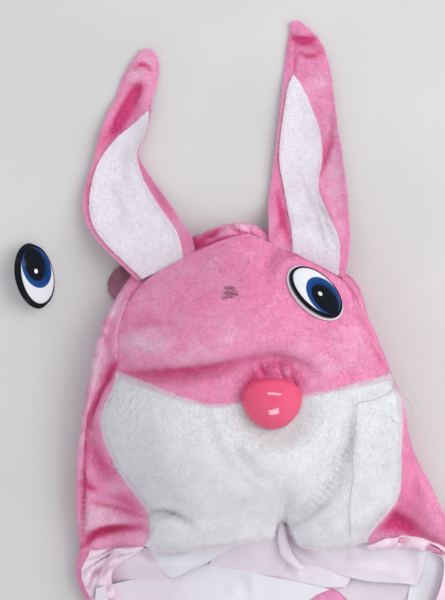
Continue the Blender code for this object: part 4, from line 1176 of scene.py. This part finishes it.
def eye_levels(glue):
    """Rings of the eye from its back to its top: flange, black wall, rim and clear dome."""
    angle = np.linspace(0, 2 * math.pi, ROUND, endpoint=False)
    oval = np.column_stack([np.cos(angle) * EYE_HALF_LENGTH, np.sin(angle) * EYE_HALF_WIDTH])
    ring = np.column_stack([np.cos(angle), np.sin(angle)])
    if glue:
        lump = ((0.02, 1.0), (0.45, 1.0), (0.7, 0.85), (0.85, 0.6), (0.96, 0.25), (1.0, 0.0))
        wobble = (1 + 0.08 * np.sin(3 * angle) + 0.05 * np.sin(5 * angle + 1))[:, None]
        levels = [(ring * wobble * GLUE_RADIUS * r, -GLUE_HEIGHT * h) for r, h in lump]
    else:
        levels = [(oval * 0.001, 0.0), (oval * 0.4, 0.0)]
    levels += [(oval * 0.96, 0.0), (oval * 0.99, 0.25), (oval, 0.7), (oval * 0.995, 1.1)]
    levels += [(oval * 0.96, 1.4), (oval * 0.948, 1.5), (oval * 0.94, 3.2), (oval * 0.92, 3.8)]
    levels += [(oval * 0.89, 4.0), (oval * 0.865, 4.0)]
    for k in range(1, 14):
        a = k / 14 * math.pi / 2
        levels.append((oval * 0.86 * math.cos(a), 4.0 + 4.5 * math.sin(a)))
    levels.append((oval * 0.001, 8.5))
    return levels


def make_eye(name, node, centre, turn, normal, glue, side, print_gloss):
    """A printed plastic eye set on a plane, its print laid out in its own oval."""
    levels = eye_levels(glue)
    up = np.asarray(normal, float) / np.linalg.norm(normal)
    heading = math.radians(turn)
    along = np.array([math.cos(heading), math.sin(heading), 0.0])
    along -= up * (along @ up)
    along /= np.linalg.norm(along)
    turned = np.array([along, np.cross(up, along), up])

    def place(points):
        placed = points @ turned + centre
        if glue:
            placed[:, 2] -= placed[:, 2].min()
        return placed

    flat = np.vstack([ring for ring, _z in levels])
    uv = flat / 100 + 0.5
    thing = turned_solid(name, levels, eye_material(f"{name}_print", side, *print_gloss), place, uv)
    hold(thing, [node])


def make_eyes():
    """The glued eye on its pressed-in seat, and the eye that lies beside the hood."""
    x, y, _length, _width, turn, z, slope_x, slope_y = EYE_SEAT
    normal = np.array([-slope_x, -slope_y, 1.0])
    normal /= np.linalg.norm(normal)
    lift = np.array([x - 0.7, y + 0.8, z]) + normal * 1.5 * SEAM
    make_eye("eye_on_hood", "eye_right", lift, turn, normal, False, 1, (0.07, 0.0))
    tilt, heading = math.radians(LOOSE_EYE_TILT), math.radians(LOOSE_EYE_TURN - 90)
    normal = np.array([math.cos(heading), math.sin(heading), 0.0]) * math.sin(tilt)
    normal[2] = math.cos(tilt)
    centre = np.array([LOOSE_EYE[0] + 1.6, LOOSE_EYE[1] - 0.8, 0.0])
    make_eye("eye_come_off", "eye_left_loose", centre, LOOSE_EYE_TURN, normal, True, -1, (0.16, 1.7))


def make_nose():
    """Moulded nose: a dome on a rounded triangle, with a shank through the cloth."""
    angle = np.linspace(0, 2 * math.pi, ROUND, endpoint=False)
    c, s = np.cos(angle), np.sin(angle)
    oval = np.column_stack(
        [NOSE_HALF_WIDTH * np.sign(c) * np.abs(c) ** 0.92 * (1 + 0.16 * s), NOSE_HALF_HEIGHT * s]
    )
    stem = np.column_stack([c, s]) * SHANK_RADIUS
    levels = [(stem * 0.01, -SHANK_LENGTH), (stem * 0.9, -SHANK_LENGTH), (stem, -SHANK_LENGTH + 0.4)]
    levels += [(stem, SEAM), (oval * 0.86, SEAM), (oval * 0.93, 0.8), (oval * 0.975, 1.8)]
    levels.append((oval, 3.4))
    for k in range(1, 16):
        a = k / 16 * math.pi / 2
        levels.append((oval * math.cos(a), 3.4 + (NOSE_DOME - 3.4) * math.sin(a)))
    levels.append((oval * 0.001, NOSE_DOME))

    def place(points):
        return points + [0, 0, NOSE_Z]

    thing = turned_solid("nose_moulded", levels, nose_material(), place)
    hold(thing, ["nose"])


def patch(top, bottom, left, right):
    """Coons patch between four boundary curves: two ruled surfaces less the corner blend."""
    n, m = len(left), len(top)
    v = np.linspace(0, 1, n)[:, None, None]
    u = np.linspace(0, 1, m)[None, :, None]
    ruled = (1 - v) * top[None] + v * bottom[None] + (1 - u) * left[:, None] + u * right[:, None]
    corners = (1 - u) * (1 - v) * top[0] + u * (1 - v) * top[-1]
    corners = corners + (1 - u) * v * bottom[0] + u * v * bottom[-1]
    return ruled - corners


# Top and bottom edge, middle points of the left and the right edge
LINING_BACK_EDGES = (
    ((-118, -100), (0, -96), (112, -100)),
    ((-96, -196), (-50, -200), (0, -188), (30, -163), (48, -151), (66, -164), (92, -186), (118, -190)),
    ((-122, -130), (-114, -160)),
    ((124, -124), (142, -154)),
)
LINING_FOLDS = (
    (-120, -138, -60, -146, 10, -136, 6, 3.0),
    (-60, -168, 0, -160, 60, -170, 8, 2.5),
    (70, -136, 100, -150, 138, -156, 6, 2.5),
)
LAYER_FOLDS = (
    (-112, -128, -80, -134, -40, -130, 4, 1.2), (-90, -119, -74, -119, -52, -113, 4.5, -2.6),
    (-108, -116, -98, -122, -92, -128, 2.2, -1.6), (-100, -113, -84, -114, -66, -113, 3, 1.5),
    (-110, -138, -90, -130, -60, -136, 9, 1.6), (-12, -158, -13, -145, -14, -140, 5, 2.4),
    (-26, -150, -30, -160, -44, -170, 8, 1.2), (6, -118, 14, -130, 26, -142, 3, 1.6),
    (13, -98, 17, -114, 33, -124, 4.5, -4), (26, -118, 52, -124, 96, -117, 6, 2.2),
    (40, -132, 70, -130, 108, -140, 5, 1.2), (112, -118, 116, -132, 114, -144, 3.5, -1.6),
    (60, -116, 64, -126, 58, -136, 4, -1.2), (132, -130, 130, -148, 120, -166, 5, 1.4),
)
# Name, CAD node, finish, size of the cut in metres, top and bottom edge, and the middle points of
# the left and the right edge
LINING_LAYERS = (
    (
        "hollow_layer", (), "lilac", (0.07, 0.045),
        ((-34, -102, 31), (-10, -98, 33), (16, -98, 32)),
        ((-50, -134, 9), (-24, -142, 8), (-6, -146, 8), (12, -146, 8)),
        ((-42, -118, 20),), ((14, -120, 20),),
    ),
    (
        "centre_layer", (), "snow", (0.19, 0.07),
        (
            (-138, -149, 21), (-104, -142, 11), (-75, -138, 8), (-46, -128, 10.5),
            (-32, -130.5, 11), (-21, -134, 12), (-3, -140, 12), (14, -143.5, 11),
            (31, -147.5, 9), (48, -151.5, 7.5),
        ),
        ((-112, -196, 14.5), (-74, -198, 7), (-30, -196, 5), (0, -186, 4.5)),
        ((-136, -170, 18),), ((34, -158, 7), (16, -172, 5.5)),
    ),
    (
        "middle_layer", (), "pale", (0.066, 0.026),
        ((-8, -119, 16), (16, -122, 16), (42, -128, 13), (64, -134, 10)),
        ((-4, -142, 9.5), (14, -146, 9), (31, -150, 7), (60, -150, 6.5)),
        ((-7, -132, 12),), ((64, -143, 8),),
    ),
    (
        "lower_left_layer", (), "lilac", (0.11, 0.034),
        ((-123, -117, 25), (-100, -117, 20), (-60, -120, 13), (-30, -122, 12)),
        (
            (-138, -151, 18), (-127, -147.5, 12), (-106, -146.4, 9), (-86, -145.6, 8),
            (-75, -143, 8), (-50, -137, 8), (-32, -132, 8),
        ),
        ((-134, -136, 22),), ((-31, -127, 10),),
    ),
    (
        "left_flap", ("lining_left",), "snow", (0.098, 0.037),
        ((-106, -111, 21), (-84, -109, 25.5), (-51, -108, 31), (-18, -102, 35)),
        (
            (-107, -115, 20), (-101, -119, 16), (-99, -126, 13), (-89, -134, 12),
            (-77.6, -142, 11), (-62, -135, 13), (-46, -127, 17), (-33, -118, 23), (-19, -108, 32),
        ),
        ((-107, -113, 20.5),), ((-18, -105, 34),),
    ),
    (
        "right_layer", (), "snow", (0.064, 0.042),
        ((114, -115, 15), (130, -117, 14), (148, -126, 12)),
        ((108, -172, 4), (124, -178, 4), (136, -172, 4)),
        ((112, -145, 6),), ((150, -150, 8),),
    ),
    (
        "right_flap", ("lining_right",), "pale", (0.125, 0.038),
        (
            (7, -90, 34), (17, -98, 33), (26, -108, 29), (40, -112, 26), (58, -111, 23),
            (77, -107, 20), (97, -108, 18), (112, -113, 16), (125, -121, 14),
        ),
        (
            (6, -117.6, 20), (14, -126, 15), (26, -131, 13), (42, -134.4, 11), (58, -140, 10),
            (78, -144.8, 9), (102, -146.4, 9), (117, -148, 9),
        ),
        ((10, -104, 29),), ((121.5, -136, 11),),
    ),
)
LINING_STRAND = (
    (6, -91, 37), (9, -100, 35), (10, -111, 30), (14, -123, 24), (24, -134, 18),
)


def layer_grid(top, bottom, left, right, across=62, down=26):
    """Patch between a top and a bottom edge and the middle points of its left and right one."""
    left = (top[0], *left, bottom[0])
    right = (top[-1], *right, bottom[-1])
    return patch(read(top, across), read(bottom, across), read(left, down), read(right, down))


def make_lining(satins):
    """Lining in the face opening: the sheet on the back, and layers and flaps over it."""
    across, down = 84, 34
    edges = [[(*point, 0) for point in line] for line in LINING_BACK_EDGES]
    flat = layer_grid(*edges, across, down)
    x, y = flat[..., 0], flat[..., 1]
    rise = np.maximum(folds(x, y, LINING_FOLDS) + 0.5 * ripple(x, y, 30, 4), 0)
    u, v = np.linspace(0, 1, across)[None, :], np.linspace(0, 1, down)[:, None]
    back_u, back_v = np.linspace(1, 0, across)[None, :], np.linspace(1, 0, down)[:, None]
    edge = smooth(np.minimum.reduce(np.broadcast_arrays(v, back_v, u, back_u)) * 12)
    flat[..., 2] = CLOTH + SEAM + 0.6 * rise * edge
    # The back sheet carries painted shade all over, a quarter of the way to its dark colour
    sheet = cloth_wall(
        "lining_sheet", flat + [0, 0, LINING * 0.6], flat, satins["lilac"], ["lining_back"],
        np.full(x.shape, 0.25), edge=0.2,
    )
    for name, nodes, satin, size, *edges in LINING_LAYERS:
        grid = layer_grid(*edges)
        x, y = grid[..., 0], grid[..., 1]
        lift = folds(x, y, LAYER_FOLDS) + 0.35 * ripple(x, y, 19, 6)
        ends = np.minimum(1, 14 * np.linspace(0, 1, len(grid)) * np.linspace(1, 0, len(grid)))
        grid[..., 2] = np.maximum(grid[..., 2] + lift * (0.35 + 0.65 * ends[:, None]), 4.4)
        # Painted shade in the layers' folds; the centre layer is painted darker towards the left, the lower
        # left layer all over and most at its left end
        shade_tint = np.clip(depth_of(x, y, LAYER_FOLDS, 4.0) * 0.7, 0, 1)
        if name == "centre_layer":
            shade_tint = shade_tint + 0.36 * (1 - smooth((x + 100) / 70)) + 0.05
        if name == "lower_left_layer":
            shade_tint = shade_tint + 0.25 + 0.6 * np.exp(-(((x + 128) / 9) ** 2))
        thing = cloth_wall(
            f"lining_{name}", grid + [0, 0, 0.7], grid, satins[satin], nodes, shade_tint, edge=0.2
        )
    path = read(LINING_STRAND, 60)
    aside = np.linspace(-1, 1, 9)
    wide = np.interp(np.linspace(0, 1, 60), (0, 0.25, 0.7, 1), (2.0, 3.4, 4.0, 2.6))[:, None]
    grid = np.repeat(path[:, None], 9, axis=1)
    grid[..., 0] += wide * aside
    grid[..., 1] += 0.5 * wide * aside
    grid[..., 2] += 1.6 * (1 - aside**2)
    thing = cloth_wall("lining_strand", grid + [0, 0, 0.6], grid, satins["pale"], [], edge=0.0)


def even_out(grid, reach):
    """A grid's rows averaged with their neighbours by a bell of the given reach."""
    padded = np.pad(grid, ((reach, reach), (0, 0), (0, 0)), mode="edge")
    return sum(w * padded[k : k + len(grid)] for k, w in enumerate(bell_of(reach, reach / 2)))


def make_binding(satins):
    """Pale gathered binding on the face opening's edge, from each foot down to the neck."""
    for word, first, last, wide, start, reach, beyond, above, lift, swell, wavy, shade, cut in BINDINGS:
        at = np.linspace(first, last, 200)
        across = np.linspace(-0.02, 1, 13)
        lines = []
        for row, place in zip(spline(HOOD_ROWS, at), at):
            profile = hood_profile(row, 40, 4)[:40]
            narrow = np.interp(place, (first, first + 1.6), (start, 1.0))
            f = np.clip(across, 0, 1) * wide * narrow * 39
            lines.append(np.column_stack([np.interp(f, np.arange(40), profile[:, c]) for c in range(3)]))
        grid = even_out(np.array(lines), reach)
        grid[:, 0] = grid[:, 1] + beyond * (grid[:, 1] - grid[:, 2])
        up = normals_of(grid)
        if word == "left":
            up *= np.where(up[..., 2:3] < 0, -1, 1)
        else:
            up = even_out(up * np.sign((up * np.array([0.7, 0, 1.0])).sum()), 14)
            up /= np.linalg.norm(up, axis=2, keepdims=True)
        ridge = np.maximum(folds(grid[..., 0], grid[..., 1], SIDE_FOLDS), 0) + above
        grid = grid + up * ridge[..., None]
        u = np.linspace(0, 1, 13)[None, :]
        wave = np.sin(at[:, None] * 15 + 2.2 * np.sin(at[:, None] * 3.1) + 9.5 * u + 1.2 * np.sin(9 * u))
        rise = lift + swell * np.sin(u * math.pi) * (1 + wavy * wave)
        rise = rise + 0.35 * ripple(grid[..., 0], grid[..., 1], 9, 31)
        over = grid + up * (rise + 0.6)[..., None]
        # Painted shade in the hollows of the gathers
        crease_shade = np.clip(0.1 - shade * wave, 0, 1) * np.sin(u * math.pi * 0.8 + 0.3)
        thing = cloth_wall(
            f"binding_{word}", over, grid + up * 0.45, satins["binding"], [], crease_shade, edge=0.0
        )


def fix_start(curve, start):
    """The curve with its first point moved, the move fading along it."""
    curve = curve.copy()
    fade = np.linspace(1, 0, len(curve))[:, None] ** 6
    return curve + fade * (np.asarray(start) - curve[0])


def body_grid(side, rows_per, across, front):
    """Half of the body and one leg: the outline between its inner and outer edges."""
    count = (len(BODY_ROWS) - 1) * rows_per + 1
    rows = spline(BODY_ROWS, np.linspace(0, len(BODY_ROWS) - 1, count))
    rows[:, 0] = np.maximum(rows[:, 0], 0)
    neck = (NECK_HALF, -SEAM)
    if front:
        neck_curve = ((SEAM / 2, -16), (50, -12), (78, -5), neck)
    else:
        neck_curve = ((SEAM / 2, -SEAM), (50, -SEAM), (78, -SEAM), neck)
    near_neck = across // 2 + 1
    top = np.vstack(
        [
            read(neck_curve, near_neck),
            read((neck, (135, -12), (172, -28)), across - near_neck + 1)[1:],
        ]
    )
    inner, outer = rows[:, 0:2].copy(), rows[:, 2:4].copy()
    inner[:, 0] += SEAM / 2
    shape = patch(top, read((inner[-1], outer[-1]), across), fix_start(inner, top[0]), outer)
    shape[..., 0] *= side
    shape[..., 1] += NECK_Y
    return shape


def body_rise(count, across):
    """Air under the front: full in the middle and at openings, none at sewn edges."""
    v = np.linspace(0, len(BODY_ROWS) - 1, count)[:, None]
    u = np.linspace(0, 1, across)[None, :]
    outer = smooth(v - ARMHOLE_END)
    inner = smooth(v - CROTCH + 0.3)
    shoulder = smooth((u - 0.5) / 0.15) * (1 - smooth(v / 0.9))
    air = (1 - outer * u**5) * (1 - inner * (1 - u) ** 5) * (1 - shoulder)
    return BODY_PUFF * np.clip(air, 0, 1)


def drape(x, y):
    """Broad soft folds of the empty body: ridges, with low ground sunk between them."""
    return np.maximum(1.4 * folds(x, y, DRAPE_BODY) + 1.2 * ripple(x, y, 120, 33), 0)


def make_body(pink, rows_per=14, across=40):
    """Front and back halves of body and legs, the placket and the sleeves."""
    count = (len(BODY_ROWS) - 1) * rows_per + 1
    for side, word in ((-1, "left"), (1, "right")):
        shape = body_grid(side, rows_per, across, front=False)
        flat = np.dstack([shape, np.zeros(shape.shape[:2])])
        thing = cloth_wall(
            f"back_{word}_cloth", flat + [0, 0, CLOTH], flat, pink, [f"back_{word}"]
        )
        shape = body_grid(side, rows_per, across, front=True)
        x, y = shape[..., 0] * side, shape[..., 1] - NECK_Y
        rise = body_rise(count, across)
        share = rise / BODY_PUFF
        ridge = np.maximum(folds(x, y, BODY_FOLDS), 0)
        fine = (folds(x, y, FINE_BODY) + 0.9 * ripple(x + 500 * side, y, 90, 12)) * share
        lift = drape(x * (1 + 0.04 * side), y + 6 * side) * share
        under = np.dstack([shape, CLOTH + SEAM + rise + lift])
        ankle = np.linspace(0, 1, count)[:, None] * (len(BODY_ROWS) - 1) - (len(BODY_ROWS) - 1.28)
        groove = np.exp(-((ankle / 0.045) ** 2)) + 0 * x
        wave = np.sin(np.linspace(0, 46, across))[None, :] * np.exp(-((ankle / 0.3) ** 2))
        over = CLOTH + ridge * share + np.maximum(fine, -0.8) - 0.7 * groove + 0.5 * wave * share
        over = under + over[..., None] * [0, 0, 1.0]
        # Painted shade in the ankle groove and in the valleys of the fine folds
        crease_shade = np.clip(0.8 * groove + 0.5 * smooth(-fine / 1.2) * share, 0, 1)
        thing = cloth_wall(
            f"front_{word}_cloth", over, under, pink, [f"front_{word}"], crease_shade
        )
        make_sleeve(side, word, pink, ARMHOLE_END * rows_per + 1)
    length = np.linspace(-18, BODY_ROWS[CROTCH][1] + 12, 130) + NECK_Y
    x, y = np.meshgrid(np.linspace(-PLACKET_HALF, PLACKET_HALF, 13), length)
    z = np.full(x.shape, CLOTH + SEAM + BODY_PUFF + CLOTH + 1.3 * SEAM)
    ridge = np.maximum(folds(np.abs(x), y - NECK_Y, BODY_FOLDS), 0) + 0.5
    under = np.stack([x, y, z + ridge + 0.4 * ripple(x, y, 60, 14)], axis=2)
    groove = np.exp(-(((np.abs(x) - 12.5) / 0.9) ** 2)) * 0.7
    over = under + [0, 0, PLACKET_CLOTH] - groove[..., None] * [0, 0, 1.0]
    # The grooves also carry painted shade
    thing = cloth_wall("placket_cloth", over, under, pink, ["front_placket"], groove)


def make_sleeve(side, word, pink, across, steps=38):
    """Flattened tube from the armhole to the cuff, open at both ends."""
    edge = spline(BODY_ROWS, np.linspace(0, ARMHOLE_END, across))[:, 2:4]
    cuff = read((CUFF_TOP, CUFF_BOTTOM), across)
    turn = np.arange(2 * across - 2) / (across - 1)
    u = np.where(turn <= 1, turn, 2 - turn)
    upper = turn <= 1
    rise = 0.5 * (4 * u * (1 - u)) ** 0.3
    level = 0.5 + np.where(upper, rise, -rise)
    rings = {}
    for layer, shrink in (("outer", 0.0), ("inner", CLOTH)):
        lines = []
        for v in np.linspace(0, 1, steps):
            width = np.linalg.norm((1 - v) * (edge[0] - edge[-1]) + v * (cuff[0] - cuff[-1]))
            inset = 0.5 + (u - 0.5) * (1 - 2 * shrink / width)
            at = inset * (across - 1)
            start, end = spline(edge, at), spline(cuff, at)
            flat = (start + [SEAM, 0]) * (1 - v) + end * v
            z = shrink + level * (SLEEVE_HEIGHT - 2 * shrink)
            if layer == "outer":
                wave = ripple(flat[:, 0], flat[:, 1], 55, 40 + side).clip(-0.5, 1)
                wave = np.where(upper, 1, 0) * (4 * u * (1 - u)) * 1.2 * wave
                near, far = min(v * 4, 0.5), min((1 - v) * 4, 0.5)
                z = z + wave * math.sin(math.pi * near) * math.sin(math.pi * far)
            lines.append(np.column_stack([flat[:, 0] * side, flat[:, 1] + NECK_Y, z]))
        rings[layer] = np.array(lines).transpose(1, 0, 2)
    thing = cloth_wall(
        f"sleeve_{word}_cloth", rings["outer"], rings["inner"], pink, [f"sleeve_{word}"],
        tube=True,
    )


def lie_on_front(points, above):
    """Points x, y laid on the hood's front, a little above its cloth."""
    points = np.asarray(points, float)
    z = front_height(points[:, 0], points[:, 1], Outline(face_rim(30)))
    return np.column_stack([points, z + above])


def make_glue():
    """Crumbs of old glue where the other eye sat: low uneven domes pressed into the nap."""
    rng = np.random.default_rng(91)
    count = 14
    angle = np.linspace(0, 2 * math.pi, count, endpoint=False)
    levels = ((0.02, 1.0), (0.45, 0.92), (0.8, 0.6), (1.0, 0.0), (0.6, -0.4), (0.02, -0.5))
    own_faces = ring_faces(len(levels), count)[:, [0, 3, 2, 1]]
    crumbs, faces = [], []
    for x, y, size in CRUMBS:
        base = lie_on_front([(x, y)], 0.9)[0]
        wobble = 1 + 0.25 * np.sin(2 * angle + rng.uniform(0, 6))
        wobble = wobble + 0.15 * np.sin(3 * angle + rng.uniform(0, 6))
        ring = np.column_stack([np.cos(angle), np.sin(angle)]) * wobble[:, None] * size
        faces.append(own_faces + count * len(levels) * len(crumbs))
        rings = [np.column_stack([ring * r, np.full(count, 0.9 * h)]) + base for r, h in levels]
        crumbs.append(np.vstack(rings))
    thing = add_mesh("glue_crumbs", np.vstack(crumbs), np.vstack(faces), crumb_material())
    hold(finish_shell(thing))


THREAD = (
    (62.5, -110, 2.4), (61.5, -92, 2.4), (60.5, -76, 2.4), (62.5, -58, 2.4), (62, -38, 2.4),
    (64, -18, 2.4), (64.5, -4, 2.4), (68, 0.5, 2.4), (78, 2, 2.4), (88, 5, 2.6), (97, 9.5, 3),
    (99, 12.5, 4), (97.5, 14.5, 4.6), (96.5, 12, 4), (100, 7, 4), (106, 2.5, 4.2),
    (110.5, -4.5, 4.4), (109.5, -12, 4.4), (103.5, -17, 4), (96.5, -15.5, 3.2), (93, -10, 2.6),
)


def make_thread():
    """A loose sewing thread on the muzzle: a fine tube along a curve laid on the cloth."""
    count, sides, radius = 260, 6, 0.24
    path = read(THREAD, count)
    inside = np.minimum(path[:, 0], 101.0)
    laid = lie_on_front(np.column_stack([inside, path[:, 1]]), 0.0)
    path = np.column_stack([path[:, :2], laid[:, 2] + path[:, 2]])
    padded = np.pad(path[:, 2], 12, mode="edge")
    path[:, 2] = np.convolve(padded, bell_of(12, 6.0), mode="valid")
    path[:, 0] += 0.35 * np.sin(np.arange(count) * 0.31) * np.sin(np.arange(count) * 0.07)
    ahead = np.gradient(path, axis=0)
    ahead /= np.linalg.norm(ahead, axis=1, keepdims=True)
    side = np.cross(ahead, [0, 0, 1.0])
    side /= np.linalg.norm(side, axis=1, keepdims=True)
    up = np.cross(side, ahead)
    angle = np.linspace(0, 2 * math.pi, sides, endpoint=False)
    ends = np.minimum(np.linspace(0.001, 1, count), np.linspace(1, 0.001, count))
    radius = radius * np.minimum(1, 60 * ends)
    around = np.cos(angle)[None, :, None] * side[:, None] + np.sin(angle)[None, :, None] * up[:, None]
    points = path[:, None] + around * radius[:, None, None]
    material, tree, shader = new_material("sewing_thread", 0.2, roughness=0.7)
    twist = noise(tree, object_place(tree), 900.0, 2.0)
    paint(tree, shader, mix(tree, twist, (0.42, 0.34, 0.35, 1), (0.66, 0.56, 0.58, 1)))
    hold(finish_shell(add_mesh("loose_thread", points, ring_faces(count, sides), material)))


def make_shadow_sheet(painted_shadow_cloth):
    """Dark sheet under the left ear, a painted shadow, shaped as a fold of the hood's back cloth that sticks
    out there.
    """
    grid = layer_grid(*SHADOW_SHEET_EDGES, 30, 30)
    x, y = grid[..., 0], grid[..., 1]
    grid[..., 2] += 1.0 * ripple(x, y, 16, 44) + 0.8
    grid[..., 2] = np.maximum(grid[..., 2], 0.1)
    thing = cloth_wall("shadow_sheet", grid + [0, 0, CLOTH], grid, painted_shadow_cloth, [])


def make_floor():
    """Plain pale surface under everything."""
    half = 4000.0
    points = [(-half, -half, -0.05), (half, -half, -0.05), (half, half, -0.05), (-half, half, -0.05)]
    thing = add_mesh("pale_surface", points, [[0, 1, 2, 3]], floor_material())


def main():
    set_view()
    set_light()
    make_nap_group()
    make_oval_group()
    pink = cloth_material(
        "pink_velour", (0.86, 0.29, 0.53, 1), (0.88, 0.64, 0.77, 1), (0.70, 0.07, 0.24, 1),
        0.3, 0.1, 0.35, 0.5,
    )
    body_pink = cloth_material(
        "pink_body_velour", (0.79, 0.235, 0.46, 1), (0.83, 0.50, 0.66, 1), (0.68, 0.07, 0.24, 1),
        0.3, 0.1, 0.35, 0.5,
    )
    # Very dark cloth for the painted shadow under the left ear
    painted_shadow_cloth = cloth_material(
        "plush_painted_shadow", (0.26, 0.10, 0.15, 1), (0.34, 0.15, 0.21, 1), (0.16, 0.03, 0.07, 1),
        0.4, 0.1, 0.2, 0.3,
    )
    white = cloth_material(
        "white_plush", (0.77, 0.775, 0.787, 1), (0.84, 0.845, 0.86, 1), (0.52, 0.51, 0.52, 1),
        0.6, 0.05, 0.3, 0.4,
    )
    ear_white = cloth_material(
        "white_ear_plush", (0.86, 0.82, 0.87, 1), (0.88, 0.86, 0.89, 1), (0.66, 0.52, 0.60, 1),
        0.6, 0.04, 0.3, 0.3,
    )
    pink_pile = pile_material(
        "pink_fibres", (0.80, 0.18, 0.41, 1), (0.88, 0.35, 0.58, 1), (0.93, 0.56, 0.73, 1),
        (0.70, 0.07, 0.24, 1), (0.88, 0.68, 0.80, 1), 0.3, 0.1,
    )
    white_pile = pile_material(
        "white_fibres", (0.765, 0.77, 0.78, 1), (0.79, 0.795, 0.81, 1), (0.82, 0.825, 0.838, 1),
        (0.50, 0.49, 0.50, 1), (0.96, 0.955, 0.96, 1), 0.2, 0.05,
    )
    ear_pile = pile_material(
        "white_ear_fibres", (0.78, 0.72, 0.77, 1), (0.87, 0.83, 0.88, 1), (0.92, 0.90, 0.93, 1),
        (0.66, 0.50, 0.58, 1), (0.9, 0.9, 0.9, 1), 0.2, 0.04,
    )
    fuzz_pile = pile_material(
        "seam_fibres", (0.90, 0.62, 0.75, 1), (0.94, 0.80, 0.87, 1), (0.96, 0.91, 0.94, 1),
        (0.66, 0.30, 0.42, 1), (0.9, 0.9, 0.9, 1), 0.2, 0.08,
    )
    satins = {
        "lilac": satin_material("lilac_white_lining", (0.82, 0.76, 0.81, 1), (0.78, 0.70, 0.77, 1)),
        "snow": satin_material("white_lining", (0.83, 0.83, 0.86, 1), (0.78, 0.77, 0.81, 1)),
        "pale": satin_material("pale_pink_lining", (0.82, 0.76, 0.82, 1), (0.78, 0.70, 0.77, 1)),
        "binding": satin_material("pale_pink_binding", (0.86, 0.72, 0.79, 1), (0.86, 0.62, 0.73, 1)),
    }
    make_floor()
    make_front(pink, white, pink_pile, white_pile, fuzz_pile)
    make_hood_back(pink, pink_pile)
    make_ear("left", LEFT_EAR, LEFT_WHITE, pink, ear_white, pink_pile, ear_pile, fuzz_pile)
    make_ear("right", RIGHT_EAR, RIGHT_WHITE, pink, ear_white, pink_pile, ear_pile, fuzz_pile)
    make_nose()
    make_eyes()
    make_lining(satins)
    make_binding(satins)
    make_body(body_pink)
    make_glue()
    make_thread()
    make_shadow_sheet(painted_shadow_cloth)


main()
